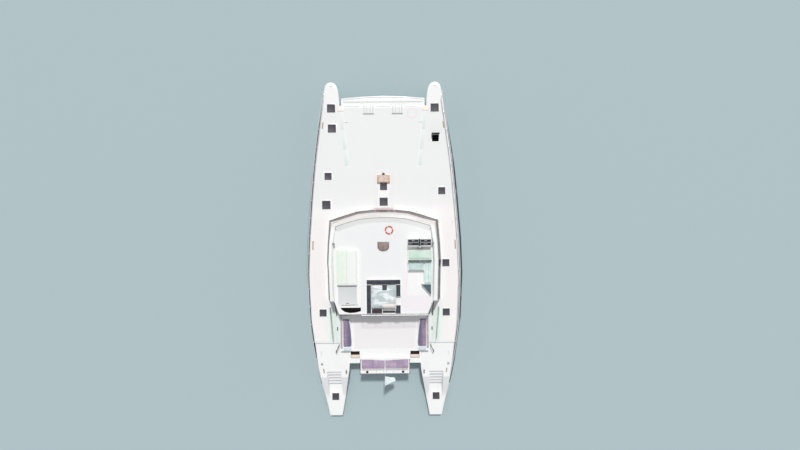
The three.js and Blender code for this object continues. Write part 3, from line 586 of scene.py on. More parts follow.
# The forward beam joins the bows. A shallow tray in its top has a pale green mat and light dividers
# behind a flush locker lid, and three short lashing bars stand on the deck's edge behind it.
beam = copy_of("bow_beam", "beam_moulding")
flat_faces(beam)
soften(beam, 0.02, 3)
dress(beam, bridge_gelcoat, slot="gelcoat", replaces=["bow_beam"])
TRAY_FLOOR = DECK_Z - 0.06
TRAY = [(-3.57, 13.29), (3.57, 13.29), (3.57, 13.63), (1.93, 13.77), (0, 13.84), (-1.93, 13.77), (-3.57, 13.63)]
tray_mat = mottled("tray_mat", ((0.74, 0.81, 0.77), (0.84, 0.87, 0.82)), (4, 4), grain=(60, 3, 0.0012),
                   Roughness=0.8)
dress(plate(TRAY, TRAY_FLOOR - 0.004, TRAY_FLOOR + 0.006, "tray_mat"), tray_mat, slot="gelcoat")
LOCKER_LID = [(-3.56, 13.46), (3.56, 13.46), (3.56, 13.62), (1.93, 13.76), (0, 13.83), (-1.93, 13.76), (-3.56, 13.62)]
locker_lid = plate(LOCKER_LID, TRAY_FLOOR + 0.004, DECK_Z - 0.003, "beam_locker_lid")
soften(locker_lid, 0.006)
dress(locker_lid, bridge_gelcoat, slot="gelcoat")
DIVIDERS = (-1.90, -0.54, 0.70, 1.94)
fences = [rounded_block((x - 0.03, 13.30, TRAY_FLOOR), (x + 0.03, 13.455, DECK_Z + 0.006), 0.008)
          for x in DIVIDERS]
dress(join(fences, "tray_dividers"), gutter_rubber, slot="gelcoat")
LASHING_BARS = [(-3.40, -2.15), (-0.50, 0.66), (1.98, 3.10)]
LASHING_Y = 13.06
lashing = []
for port_end, starboard_end in LASHING_BARS:
    bar = [(x, LASHING_Y, DECK_Z + 0.045) for x in (port_end, starboard_end)]
    lashing.append(tube("lashing_bar", [bar], 0.014))
    lashing += [ring_foot((x, LASHING_Y, DECK_Z), 0.02, 0.036) for x in (port_end + 0.05, starboard_end - 0.05)]
dress(join(lashing, "lashing_bars"), steel, slot="rail_steel")

# Guard rails are polished stainless tube on stanchions stepped in round feet, with two wires
# threaded through the stanchions under the top rail.
wire_steel = mottled("wire_steel", rough=(0.3, 80, 2, 0.2), Metallic=1.0, Base_Color=(0.66, 0.67, 0.68))
STATIONS = [
    # y, outer deck edge, deck height
    (14.10, 5.293, 2.36), (13.67, 5.37, 2.325), (13.3, 5.43, 2.30), (12.6, 5.50, 2.30), (10.98, 5.705, 2.30),
    (9.2, 5.94, 2.30), (7.6, 6.12, 2.30), (4.73, 6.37, 2.30), (1.15, 6.63, 2.30), (-1.98, 6.72, 2.30),
    (-6.0, 6.54, 2.30), (-8.1, 6.26, 2.30), (-9.9, 6.04, 2.15), (-11.0, 5.855, 2.15),
]
STANCHION_FROM, STANCHION_PITCH, STANCHIONS = 14.10, 1.57, 15
RAIL_INSET = 0.03


def deck_edge(y):
    """Outer edge and height of the deck at y."""
    for (y0, x0, z0), (y1, x1, z1) in zip(STATIONS, STATIONS[1:]):
        if y >= y1:
            share = min(1.0, (y0 - y) / (y0 - y1))
            return x0 + (x1 - x0) * share, z0 + (z1 - z0) * share
    return STATIONS[-1][1:]


for side, sign in SIDES:
    refinish(steel, f"guard_rail_{side}")
    posts = [STANCHION_FROM - STANCHION_PITCH * i for i in range(STANCHIONS)]
    feet = []
    wires = {0.36: [], 0.68: []}
    for y in posts:
        edge, deck = deck_edge(y)
        feet.append(ring_foot((sign * (edge - RAIL_INSET - 0.02), y, deck), 0.055, 0.014))
        for rise, run in wires.items():
            run.append((sign * (edge - RAIL_INSET), y, deck + rise))
    dress(join(feet, f"stanchion_feet_{side}"), steel, slot="rail_steel")
    dress(tube(f"guard_wires_{side}", wires.values(), 0.0045), wire_steel, slot="rail_steel")

# The two folding rails lie flat on the foredeck. They are bent steel frames with two inner bars and
# a grey sleeve over the crossbar. Grey shoes in line with their bars cross the deck's edge.
sleeve = mottled("sleeve_foam", ((0.42, 0.43, 0.45), (0.56, 0.57, 0.58)), (20, 4), grain=(120, 3, 0.002),
                 Roughness=0.85)
FOLDED_Z = 2.36
for side, sign in SIDES:
    rail = f"folding_rail_{side}"
    refinish(steel, rail)
    low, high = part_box(rail)
    bar_y = low.y + 0.03
    crossbar = [(low.x + 0.03, bar_y, FOLDED_Z), (high.x - 0.03, bar_y, FOLDED_Z)]
    dress(tube(f"rail_sleeve_{side}", [crossbar], 0.038, sides=5), sleeve, body=rail, slot="rail_steel")
    thirds = [low.x + (high.x - low.x) * share for share in (0.34, 0.66)]
    inner = [[(x, bar_y, FOLDED_Z), (x, high.y - 0.10, FOLDED_Z)] for x in thirds]
    dress(tube(f"rail_inner_bars_{side}", inner, 0.012), sleeve, body=rail, slot="rail_steel")
    shoes = [rounded_block((x - 0.018, high.y + 0.06, DECK_Z), (x + 0.018, 13.285, DECK_Z + 0.016), 0.005)
             for x in (low.x + 0.03, *thirds, high.x - 0.03)]
    dress(join(shoes, f"rail_shoes_{side}"), sleeve, slot="rail_steel")

# Deck hatches are smoky acrylic panes bonded into black frames, each with two handles inside and
# two hinges at its forward edge. One stands open over its well, whose near-black lining is painted shade.
LID_THICK = 0.03
LID_FRAME = 0.035
acrylic = Finish("smoky_acrylic", IOR=1.49)
crazing = acrylic.noise(14, 5, 0.65).step(0.45, 0.72)
acrylic.set(Base_Color=acrylic.mix(crazing * 0.7, (0.058, 0.050, 0.066), (0.105, 0.096, 0.118)))
acrylic.set(Roughness=0.52 + crazing * 0.2)
acrylic.bump(acrylic.noise(3, 2), 0.0008)
hatch_frame = mottled("hatch_frame", ((0.05, 0.05, 0.055), (0.09, 0.09, 0.10)), (30, 3), rough=(0.35, 60, 3, 0.2),
                      Metallic=0.7)
# The hatch wells' near-black lining is painted shade in the deep wells.
painted_shade_cloth = mottled("well_lining", ((0.006, 0.006, 0.007), (0.018, 0.018, 0.02)), (9, 4), grain=(90, 2, 0.002),
                       Roughness=0.95)


def lined(well):
    """Opens a block at its top and gives it thin walls."""
    work(well, "FACE", looks_up, delete_faces)
    modify(well, "SOLIDIFY", thickness=0.006, offset=-1.0)
    return well


def two_tone(piece, first, second, test):
    """Gives a piece two finishes, the second on the faces that pass the test."""
    for finish in (first, second):
        piece.data.materials.append(finish.material)
    for face in piece.data.polygons:
        face.material_index = int(test(face))


painted_shades = []
for name, joint in hatch_joints.items():
    hinge = Vector(joint["pos_m"])
    low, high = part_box(name)
    size = high.x - low.x
    stands = high.z - low.z > size / 2
    lid = block((-size / 2, -size, -LID_THICK), (size / 2, 0, 0))
    for facing in (1, -1):
        work(lid, "FACE", lambda face: face.normal.z * facing > 0.9, inset(LID_FRAME), push(-0.004))
    reach = size / 2 - LID_FRAME - 0.001
    two_tone(lid, acrylic, hatch_frame, lambda face: abs(face.normal.z) <= 0.9 or abs(face.center.x) >= reach
             or abs(face.center.y + size / 2) >= reach)
    soften(lid, 0.005)
    furniture = []
    for x in (-size / 4, size / 4):
        furniture.append(rounded_block((x - 0.05, -size + 0.08, -0.034), (x + 0.05, -size + 0.115, -0.024), 0.004))
        furniture.append(rounded_block((x - 0.035, -0.05, -0.004), (x + 0.035, -0.006, 0.004), 0.003))
    for part in furniture:
        part.data.materials.append(hatch_frame.material)
    lid = join([lid, *furniture], f"{name}_lid")
    lid.location = hinge
    lid.rotation_euler.x = -math.pi / 2 if stands else 0.0
    dress(lid, body=name, slot="hatch_acrylic", replaces=[name])
    half = size / 2 - 0.062
    middle = (hinge.x, hinge.y - size / 2, hinge.z - LID_THICK - 0.18)
    painted_shades.append(lined(added("cube", size=2, location=middle, scale=(half, half, 0.178))))
dress(join(painted_shades, "hatch_well_linings"), painted_shade_cloth, slot="hatch_acrylic")

# The windlass stands on its coaming ahead of the two centre hatches: a tan covered box with a
# turned capstan, a chain stopper and two foot switches.
low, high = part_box("windlass")
BOX_FRONT = 6.87
tan_paint = mottled("tan_paint", ((0.56, 0.37, 0.24), (0.70, 0.54, 0.40)), (6, 4), (0.4, 0.65),
                    grain=(30, 3, 0.001), Roughness=0.5)
windlass_box = rounded_block((low.x, low.y, low.z), (high.x, BOX_FRONT, high.z), 0.03, 3)
work(windlass_box, "FACE", lambda face: face.normal.z > 0.99 and face.area > 0.1,
     inset(0.03),
     push(-0.008),
     inset(0.16),
     push(0.008))
cream_paint = mottled("cream_paint", ((0.63, 0.43, 0.37), (0.70, 0.60, 0.54)), (7, 4), (0.4, 0.6),
                      grain=(30, 3, 0.001), Roughness=0.5)
box_middle = (low.y + BOX_FRONT) / 2
two_tone(windlass_box, tan_paint, cream_paint, lambda face: face.normal.z > 0.5 and abs(face.center.x) < 0.42
         and abs(face.center.y - box_middle) < 0.22)
dress(windlass_box, name="windlass_box", slot="windlass_cover", replaces=["windlass"])
capstan = added("cylinder", vertices=32, radius=0.12, depth=0.03, location=(0, 6.99, low.z + 0.015))
CAPSTAN_RINGS = [(-0.03, 0.02), (-0.02, 0.06), (0.015, 0.06), (0.02, 0.04), (0.0, 0.03), (-0.05, 0.012)]
for grow, rise in CAPSTAN_RINGS:
    work(capstan, "FACE", lambda face: face.normal.z > 0.9 and face.center.z > 0 and face.area > 0.004,
         inset(max(-grow, 0.0001), use_outset=False),
         lift(rise),
         partial(bpy.ops.transform.resize, value=(1 + max(grow, 0) * 12, 1 + max(grow, 0) * 12, 1)))
soften(capstan, 0.004)
dress(capstan, hatch_frame, name="capstan", slot="windlass_cover")
stopper = rounded_block((-0.06, 6.88, low.z), (0.06, 6.94, low.z + 0.12), 0.012, 3)
switches = [ring_foot((x, 7.12, low.z), 0.045, 0.016) for x in (-0.3, 0.3)]
dress(join([stopper, *switches], "chain_stopper"), steel, slot="rail_steel")

# The deckhouse is one fibreglass moulding with raked sides. Weather boards cover the foot of the
# windscreen, the middle one a faded pink, with a dark rubber fender along them whose darkness is
# partly painted shade at the glass's foot. Over it stand thin mullions and black wipers, and a tinted
# visor strip is bonded along the brow.
HOUSE_EDGE = [
    # x, y, share of the side rake, share of the front rake
    (0, 3.70, 0, 1), (1.0, 3.69, 0.2, 1), (2.2, 3.57, 0.45, 1), (3.45, 3.20, 0.75, 1), (4.63, 2.82, 1, 0.6),
    (4.80, 0.80, 1, 0), (4.87, -0.80, 1, 0), (4.83, -1.45, 1, 0), (4.76, -4.08, 1, 0),
]
SIDE_RAKE, FRONT_RAKE, RAKE_FROM = 0.22, 0.236, 3.50
SILL_Z, HEAD_Z, HOUSE_TOP_Z = 2.93, 4.07, 4.28
MULLIONS = (-0.715, 0.95)
FRONT_FACING = (0, 1, 0.24)
WIPERS = [(-2.4, 0.5), (-0.5, 0.42), (1.15, 0.42), (2.9, -0.5)]


def house_line(z, out=0.0):
    """The deckhouse's outline at one height, from its port to its starboard after corner."""
    half = [(x + side * ((RAKE_FROM - z) * SIDE_RAKE + out), y + front * ((RAKE_FROM - z) * FRONT_RAKE + out), z)
            for x, y, side, front in HOUSE_EDGE]
    return [(-x, y, height) for x, y, height in reversed(half[1:])] + half


def plank(start, end, width, thick, facing, edge=0.006):
    """A flat bar between two points, with its broad side towards facing."""
    start, end = Vector(start), Vector(end)
    along = (end - start).normalized()
    side = along.cross(Vector(facing)).normalized()
    piece = rounded_block((-width / 2, 0, -thick / 2), (width / 2, (end - start).length, thick / 2), edge)
    piece.matrix_world = Matrix.Translation(start) @ Matrix((side, along, side.cross(along))).transposed().to_4x4()
    settle(piece)
    return piece


house_gelcoat = gelcoat("house_gelcoat", (0.90, 0.90, 0.89))
refinish(house_gelcoat, "deckhouse")
# The sill fender's dark rubber is partly painted shade along the foot of the glass.
sill_rubber = mottled("sill_rubber", ((0.13, 0.10, 0.105), (0.22, 0.17, 0.175)), (5, 4), grain=(60, 3, 0.001),
                      Roughness=0.7)
BOARD_LOW, BOARD_HIGH = 2.90, 3.34


def band_between(low_line, high_line, name, thick):
    """A bent board between two lines of points, as thick as this behind its face."""
    board = added("grid", x_subdivisions=len(low_line) - 1, y_subdivisions=1, size=1)
    board.name = name
    for point in board.data.vertices:
        line = high_line if point.co.y > 0 else low_line
        point.co = line[round((point.co.x + 0.5) * (len(line) - 1))]
    work(board, "FACE", anything, bpy.ops.mesh.flip_normals)
    if sum((face.normal for face in board.data.polygons), Vector()).z < 0:
        work(board, "FACE", anything, bpy.ops.mesh.flip_normals)
    modify(board, "SOLIDIFY", thickness=thick, offset=-1.0)
    return board


def front_line(z, out):
    """The deckhouse's outline at one height along its front."""
    return [point for point in house_line(z, out) if point[1] > 2.5]


boards = band_between(front_line(BOARD_LOW, 0.026), front_line(BOARD_HIGH, 0.026), "weather_boards", 0.02)
dress(boards, house_gelcoat, slot="gelcoat")
side_sill = [point for point in house_line(SILL_Z - 0.035, -0.004) if abs(point[0]) > 4.5]
port_sill, starboard_sill = side_sill[:len(side_sill) // 2], side_sill[len(side_sill) // 2:]
fender_line = port_sill + front_line(BOARD_HIGH + 0.01, 0.012) + starboard_sill
dress(tube("sill_fender", [fender_line], 0.022, sides=4), sill_rubber, slot="gelcoat")
board_pink = mottled("board_pink", ((0.74, 0.55, 0.55), (0.84, 0.70, 0.69)), (6, 4), grain=(90, 2, 0.001),
                     Roughness=0.8)
pink_board = plank((0, 3.955, 2.50), (0, 3.775, 3.31), 1.70, 0.02, FRONT_FACING, 0.008)
dress(pink_board, board_pink, name="pink_board", slot="gelcoat")
mullion_paint = mottled("mullion_paint", ((0.50, 0.43, 0.42), (0.60, 0.53, 0.52)), (9, 3),
                        grain=(60, 2, 0.0004), Roughness=0.5)
mullions = [plank((x, 3.755, BOARD_HIGH), (x, 3.535, HOUSE_TOP_Z - 0.01), 0.055, 0.02, FRONT_FACING)
            for x in MULLIONS]
dress(join(mullions, "windscreen_mullions"), mullion_paint, slot="gelcoat")
black_plastic = mottled("black_plastic", rough=(0.4, 50, 3, 0.2), grain=(200, 2, 0.0003),
                        Base_Color=(0.02, 0.02, 0.022))
wipers = []
for x, lean in WIPERS:
    foot_y = 3.775 - 0.105 * max(0.0, abs(x) - 0.9)
    wipers.append(ring_foot((x, foot_y, BOARD_HIGH - 0.02), 0.03, 0.03))
    wipers.append(plank((x, foot_y, BOARD_HIGH + 0.02), (x + lean, foot_y - 0.12, BOARD_HIGH + 0.55), 0.018, 0.012,
                        FRONT_FACING, 0.003))
dress(join(wipers, "windscreen_wipers"), black_plastic, slot="tinted_glass")

# Tinted glass wraps round the deckhouse in bonded panes. Its edges have a black printed border,
# and it lets a little of the saloon show through.
tinted_glass = Finish("tinted_glass", IOR=1.15, Specular_IOR_Level=0.35)
pane_height = tinted_glass.axis("Z")
border = tinted_glass.maths("MAXIMUM", pane_height.step(SILL_Z + 0.09, SILL_Z + 0.075),
                            pane_height.step(HOUSE_TOP_Z - 0.03, HOUSE_TOP_Z - 0.02))
# The windscreen's panes are painted a paler brown than the side panes; that paler tone is painted sky reflection on
# the raked glass.
at_side = abs(tinted_glass.axis("X")).step(4.5, 4.72)
tint = tinted_glass.mix(at_side, (0.270, 0.225, 0.220), (0.120, 0.098, 0.098))
tinted_glass.set(Base_Color=tinted_glass.mix(border, tint, (0.085, 0.068, 0.068)))
tinted_glass.set(Alpha=0.94 + border * 0.06)
tinted_glass.set(Roughness=0.24 + tinted_glass.noise(1.5, 4) * 0.08)
refinish(tinted_glass, "wrap_glass", "saloon_fixed_pane")
visor = band_between(front_line(HEAD_Z - 0.01, 0.014), front_line(HOUSE_TOP_Z, 0.014), "brow_visor", 0.008)
dress(visor, tinted_glass, slot="tinted_glass")

# The saloon behind the glass has a timber sole, laid in planks with dark caulking between them on the
# bridge deck. A counter of oiled oak stands on it.
oak = Finish("oiled_oak", Roughness=0.45)
grain = oak.noise(8, 6, 0.65, oak.stretched((6, 0.5, 6)))
oak.set(Base_Color=oak.mix(grain, (0.30, 0.17, 0.08), (0.52, 0.33, 0.17)))
oak.bump(grain, 0.0008)
SOLE_PLANK = 0.14
planked = Finish("planked_sole", Roughness=0.5)
sole_grain = planked.noise(5, 6, 0.65, planked.stretched((5, 0.4, 5)))
across_plank = planked.maths("PINGPONG", planked.axis("X"), SOLE_PLANK / 2)
caulk = across_plank.step(0.004, 0.003)
planks = planked.mix(sole_grain, (0.34, 0.20, 0.10), (0.55, 0.36, 0.20))
planked.set(Base_Color=planked.mix(caulk, planks, (0.03, 0.03, 0.03)))
planked.bump(sole_grain - caulk, 0.001)
sole = [(x, y) for x, y, z in house_line(2.305, -0.13)]
sole = [(x, max(y, -2.70)) for x, y in sole]
dress(plate(list(reversed(sole)), 2.3005, 2.304, "saloon_sole"), planked, slot="timber")
refinish(oak, "saloon_counter")

# The saloon door is a dark alloy frame round one tinted pane. It slides along the bulkhead ahead of
# the cockpit, and a long pull of bent tube is fixed to its after side.
low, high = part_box("saloon_door")
door = block(low, high)
for facing in (1, -1):
    work(door, "FACE", lambda face: face.normal.y * facing > 0.9, inset(0.075), push(-0.010))
two_tone(door, hatch_frame, tinted_glass, lambda face: abs(face.normal.y) > 0.9 and face.area > 1.0)
soften(door, 0.004)
PULL = [(-0.012, 3.0), (-0.035, 3.04), (-0.035, 3.46), (-0.012, 3.5)]
pull = tube("pull", [[(low.x + 0.06, low.y + out, z) for out, z in PULL]], 0.012)
pull.data.materials.append(hatch_frame.material)
dress(join([door, pull], "saloon_door_leaf"), body="saloon_door", slot="tinted_glass", replaces=["saloon_door"])

# The upper deck is the deckhouse roof, moulded with its seat boxes and the stairwell. Non-skid
# panels cover its floor, and slanted struts carry its after corners.
ROOF_Z = 4.50
refinish(house_gelcoat, "upper_deck")
ROOF_EDGE = [(3.03, 0.94), (2.92, 1.99), (2.63, 3.07), (2.31, 4.04), (0.78, 4.24), (-0.8, 4.28), (-1.45, 4.25),
             (-3.95, 4.17), (-5.05, 3.75)]
ROOF_KEPT_CLEAR = [((-4.30, -5.20), (-1.95, 0.44)), ((-1.50, -5.20), (1.50, -2.14)), ((2.06, -3.6), (4.30, 1.34))]
roof_grip = plate([(x, y) for y, x in mirrored(ROOF_EDGE)], ROOF_Z - 0.005, ROOF_Z + 0.002, "roof_grip")
trim_rim(roof_grip, 0.09, 0.007)
cut(roof_grip, *[rounded_block((*near, ROOF_Z - 0.1), (*far, ROOF_Z + 0.1), 0.04) for near, far in ROOF_KEPT_CLEAR])
dress(roof_grip, deck_grip, slot="gelcoat")
strut_paint = mottled("strut_paint", ((0.10, 0.085, 0.095), (0.17, 0.145, 0.155)), (6, 4),
                      rough=(0.4, 30, 3, 0.2), Metallic=0.4)
STRUTS = [
    # foot and head of the axis, breadth
    ((4.2695, -5.621, 2.3005), (4.250, -4.076, 4.278), 0.13),
    ((3.978, -5.515, 2.3005), (4.079, -4.312, 4.278), 0.11),
]
struts = []
for (x0, y0, z0), (x1, y1, z1), broad in STRUTS:
    struts += [plank((sign * x0, y0, z0), (sign * x1, y1, z1), broad, 0.092, (1, 0, 0), 0.015) for sign in (-1, 1)]
dress(join(struts, "roof_struts"), strut_paint, slot="rail_steel")

# The bulwark round the upper deck is a deep hollow coaming with a rounded, faintly green top. A low
# steel rail follows its inner edge, a vent pod stands on each side, and a sloping cove panel eases
# the front's inner foot into the deck.
bulwark_gelcoat = gelcoat("bulwark_gelcoat", (0.87, 0.90, 0.88), 0.7)
toward_bow = bulwark_gelcoat.axis("Y").step(1.8, 2.6)
bulwark_gelcoat.set(Base_Color=bulwark_gelcoat.mix(toward_bow, bulwark_gelcoat.colour(), (0.75, 0.72, 0.685)))
coaming = copy_of("bulwark", "bulwark_moulding")
flat_faces(coaming)
soften(coaming, 0.045, 4)
dress(coaming, bulwark_gelcoat, slot="gelcoat", replaces=["bulwark"])
INNER_RAIL = [
    # x, y, top of the coaming
    (-4.24, -3.6, 5.124), (-4.31, -1.45, 5.15), (-4.34, -0.8, 5.15), (-4.30, 0.78, 5.06), (-4.10, 2.36, 4.84),
    (-3.11, 2.70, 4.785), (-2.0, 2.99, 4.765), (-0.95, 3.095, 4.76), (0, 3.11, 4.76),
]
INNER_RAIL = INNER_RAIL + [(-x, y, top) for x, y, top in reversed(INNER_RAIL[:-1])]
POST_PITCH, RAIL_RISE = 0.75, 0.075
posts = []
for start, end in zip(map(Vector, INNER_RAIL), map(Vector, INNER_RAIL[1:])):
    count = max(1, round((end - start).length / POST_PITCH))
    posts += [ring_foot(start.lerp(end, i / count) - Vector((0, 0, 0.004)), 0.022, 0.05) for i in range(count)]
rail_run = [(x, y, top + RAIL_RISE) for x, y, top in INNER_RAIL]
dress(join([tube("rail", [rail_run], 0.014), *posts], "coaming_rail"), steel, slot="rail_steel")
pods = [ring_foot((sign * 4.20, 0.85, 4.90), 0.11, 0.12) for sign in (-1, 1)]
pod_plastic = mottled("pod_plastic", ((0.16, 0.20, 0.19), (0.28, 0.34, 0.32)), (20, 3), grain=(80, 3, 0.0005),
                      Roughness=0.5)
dress(join(pods, "vent_pods"), pod_plastic, slot="hatch_acrylic")
crown = [(x, y - 0.055, top - 0.045) for x, y, top in INNER_RAIL if y > 2.3]
cove_foot = [(x * 0.955, y - 0.45, ROOF_Z + 0.003) for x, y, top in INNER_RAIL if y > 2.3]
dress(band_between(cove_foot, crown, "coaming_cove", 0.01), house_gelcoat, slot="gelcoat")

# A rail of dull stainless tube closes the back of the upper deck. One thinner middle bar is welded
# in at half its height.
refinish(wire_steel, "upper_rail")
MIDDLE_BAR = [(-1.85, -5.115, 4.95), (1.85, -5.115, 4.95), (3.70, -5.115, 4.95), (4.08, -4.18, 4.95)]
dress(tube("upper_rail_bar", [MIDDLE_BAR], 0.012), wire_steel, slot="rail_steel")

# The moulded stair climbs from the cockpit through the deck. Each step has a grey rubber tread,
# and a steel handrail follows its inboard side.
refinish(house_gelcoat, "stair")
STAIR_RISE, STAIR_RUN, STAIR_FOOT_Y, STAIR_STEPS = 0.22, 0.235, -5.035, 9
tread_rubber = mottled("tread_rubber", ((0.10, 0.10, 0.11), (0.17, 0.17, 0.18)), (12, 4), Roughness=0.85)


def rib(finish):
    """Gives a tread ribs across the way people climb."""
    finish.bump(finish.maths("PINGPONG", finish.axis("Y"), 0.006) * 160, 0.002)


rib(tread_rubber)
treads = []
for step in range(STAIR_STEPS):
    y, z = STAIR_FOOT_Y + step * STAIR_RUN, DECK_Z + STAIR_RISE * (step + 1)
    treads.append(rounded_block((-3.46, y + 0.02, z - 0.004), (-2.64, y + STAIR_RUN - 0.03, z + 0.008), 0.003))
dress(join(treads, "stair_treads"), tread_rubber, slot="charcoal_fabric")
HANDRAIL_X = -2.55
HANDRAIL = [(-4.95, 2.30), (-4.95, 3.22), (-4.85, 3.32), (-3.35, 4.10), (-3.2, 4.14), (-2.83, 4.14)]
handrail = tube("stair_handrail", [[(HANDRAIL_X, y, z) for y, z in HANDRAIL]], 0.018)
dress(handrail, steel, slot="rail_steel")

# A frosted acrylic lid in a white frame closes the stairwell, hinged along its forward edge. A fixed
# crescent of black acrylic covers the foot of the stair, bedded on the roof and on a white bar.
frosted = mottled("frosted_acrylic", ((0.60, 0.625, 0.63), (0.71, 0.73, 0.735)), (1.2, 4, 0.6),
                  rough=(0.35, 5, 4, 0.25), grain=(4, 2, 0.001), IOR=1.49)
CRESCENT = [(-1.96, -4.60), (-1.96, -4.90), (-2.40, -5.015), (-2.90, -5.05), (-3.32, -4.96), (-3.59, -4.77),
            (-3.70, -4.60)]
black_acrylic = mottled("black_acrylic", rough=(0.32, 6, 4, 0.2), grain=(3, 2, 0.0006),
                        Base_Color=(0.006, 0.004, 0.004), IOR=1.49, Specular_IOR_Level=0.1)
crescent = plate(CRESCENT, ROOF_Z, ROOF_Z + 0.010, "stair_light")
soften(crescent, 0.003)
dress(crescent, black_acrylic, slot="hatch_acrylic")
bar = rounded_block((-3.645, -4.605, 4.43), (-1.995, -4.41, ROOF_Z + 0.004), 0.010)
dress(bar, house_gelcoat, name="stair_light_bar", slot="gelcoat")
low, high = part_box("stair_hatch")
stair_lid = block(low, high)
work(stair_lid, "FACE", looks_up, inset(0.05), push(-0.010))
two_tone(stair_lid, house_gelcoat, frosted, lambda face: face.normal.z > 0.9 and face.area > 1.0)
soften(stair_lid, 0.012, 3)
grab = rounded_block((-3.20, low.y + 0.10, high.z - 0.012), (-2.98, low.y + 0.15, high.z + 0.014), 0.008)
knuckles = rounded_block((low.x + 0.08, high.y - 0.045, high.z - 0.012),
                         (high.x - 0.08, high.y - 0.012, high.z + 0.004), 0.004)
for part in (grab, knuckles):
    part.data.materials.append(hatch_frame.material)
dress(join([stair_lid, grab, knuckles], "stair_lid"), body="stair_hatch", slot="hatch_acrylic",
      replaces=["stair_hatch"])

# The helm is a moulded console with a sloping top. Two rows of dark instrument panels are let into
# it, with screens and switches, and a binnacle with the throttles stands between them.
refinish(house_gelcoat, "helm_console")
SLOPE = (0.64, 5.36), (1.25, 5.50)
PANEL_ROWS = [(1.00, 1.18), (0.72, 0.91)]
TOP_FACING = (0, -0.23, 1)
PANELS = [[(2.13, 2.93), (3.17, 4.00)], [(2.13, 2.76), (2.79, 2.93), (3.17, 3.42), (3.46, 4.00)]]
screen_glass = mottled("screen_glass", rough=(0.06, 12, 4, 0.08), grain=(3, 2, 0.0003),
                       Base_Color=(0.012, 0.016, 0.018), IOR=1.5, Coat_Weight=0.6)


def slope_z(y, lift=0.0):
    """Height of the console's top at y."""
    (y0, z0), (y1, z1) = SLOPE
    return z0 + (z1 - z0) * (y - y0) / (y1 - y0) + lift


dash_grey = mottled("dash_grey", ((0.20, 0.235, 0.24), (0.28, 0.32, 0.32)), (8, 4), grain=(220, 2, 0.0004),
                    Roughness=0.6)
dash = plank((3.065, 0.69, slope_z(0.69)), (3.065, 1.21, slope_z(1.21)), 1.93, 0.010, TOP_FACING, 0.004)
dress(dash, dash_grey, name="helm_dash", slot="tinted_glass")
panels, screens, switches = [], [], []
for (back, front), row in zip(PANEL_ROWS, PANELS):
    for x0, x1 in row:
        middle = (x0 + x1) / 2
        panels.append(plank((middle, back, slope_z(back, 0.004)), (middle, front, slope_z(front, 0.004)),
                            x1 - x0, 0.014, TOP_FACING, 0.005))
        count = max(1, round((x1 - x0) / 0.30))
        for i in range(count):
            x = x0 + (x1 - x0) * (i + 0.5) / count
            if (i + count) % 2:
                screens.append(plank((x, back + 0.02, slope_z(back + 0.02, 0.011)),
                                     (x, front - 0.02, slope_z(front - 0.02, 0.011)), 0.21, 0.006, TOP_FACING, 0.002))
            else:
                for dx in (-0.09, -0.045, 0.0, 0.045, 0.09):
                    y = (back + front) / 2
                    switches.append(rounded_block((x + dx - 0.012, y - 0.02, slope_z(y, 0.008)),
                                                  (x + dx + 0.012, y + 0.02, slope_z(y, 0.020)), 0.003))
dress(join(panels, "helm_panels"), black_plastic, slot="tinted_glass")
dress(join(screens, "helm_screens"), screen_glass, slot="tinted_glass")
dress(join(switches, "helm_switches"), steel, slot="rail_steel")
binnacle = plank((3.045, 0.655, slope_z(0.655, 0.02)), (3.045, 1.245, slope_z(1.245, 0.02)), 0.11, 0.045,
                 TOP_FACING, 0.015)
levers = []
for x in (3.16, 3.24):
    levers.append(tube("lever", [[(x, 0.66, slope_z(0.66, -0.01)), (x, 0.655, 5.45), (x, 0.645, 5.50)]], 0.009))
    levers.append(ring_foot((x, 0.645, 5.495), 0.018, 0.018))
dress(join([binnacle, *levers], "helm_binnacle"), black_plastic, slot="tinted_glass")

# The wheel's rim is wrapped in dark stitched leather. Three flat metal spokes hold it on a turned
# nave, which is fixed on the shaft that comes out of the console.
leather = Finish("rim_leather", Roughness=0.55)
hide = leather.cells(260)
leather.set(Base_Color=leather.mix(hide, (0.018, 0.020, 0.024), (0.045, 0.048, 0.055)))
leather.bump(hide + leather.noise(40, 2) * 0.5, 0.0006)
WHEEL = Vector((3.10, 0.48, 5.26))
rim = added("torus", location=WHEEL, rotation=(math.pi / 2, 0, 0), major_radius=0.250, minor_radius=0.0195,
            major_segments=72, minor_segments=14)
dress(rim, leather, name="wheel_rim", body="helm_wheel", slot="wheel_rim", replaces=["helm_wheel"], smooth=60)
spokes = []
for turn in (90, 210, 330):
    along = Vector((math.cos(math.radians(turn)), 0, math.sin(math.radians(turn))))
    spokes.append(plank(WHEEL + along * 0.03, WHEEL + along * 0.238, 0.028, 0.010, (0, -1, 0), 0.004))
nave = added("cylinder", vertices=32, radius=0.052, depth=0.048, location=WHEEL, rotation=(math.pi / 2, 0, 0))
settle(nave)
work(nave, "FACE", lambda face: face.normal.y < -0.9, inset(0.014), push(-0.006))
soften(nave, 0.003)
dress(join([*spokes, nave], "wheel_spokes"), steel, body="helm_wheel", slot="wheel_rim")

# The helm seat and the settee behind it are stitched vinyl cushions on a white moulding. The seat
# is mint, the settee a faded teal with a slate corner, and a dark green bolster caps the seat's back.
refinish(house_gelcoat, "helm_seat_moulding")


def waves(finish, direction, scale):
    sockets = {"Vector": finish.place, "Scale": scale}
    return finish.node("TexWave", {"bands_direction": direction}, sockets, "Fac")


def woven(finish, scale):
    """The threads of a plain weave."""
    return waves(finish, "X", scale) * 0.5 + waves(finish, "Y", scale) * 0.5


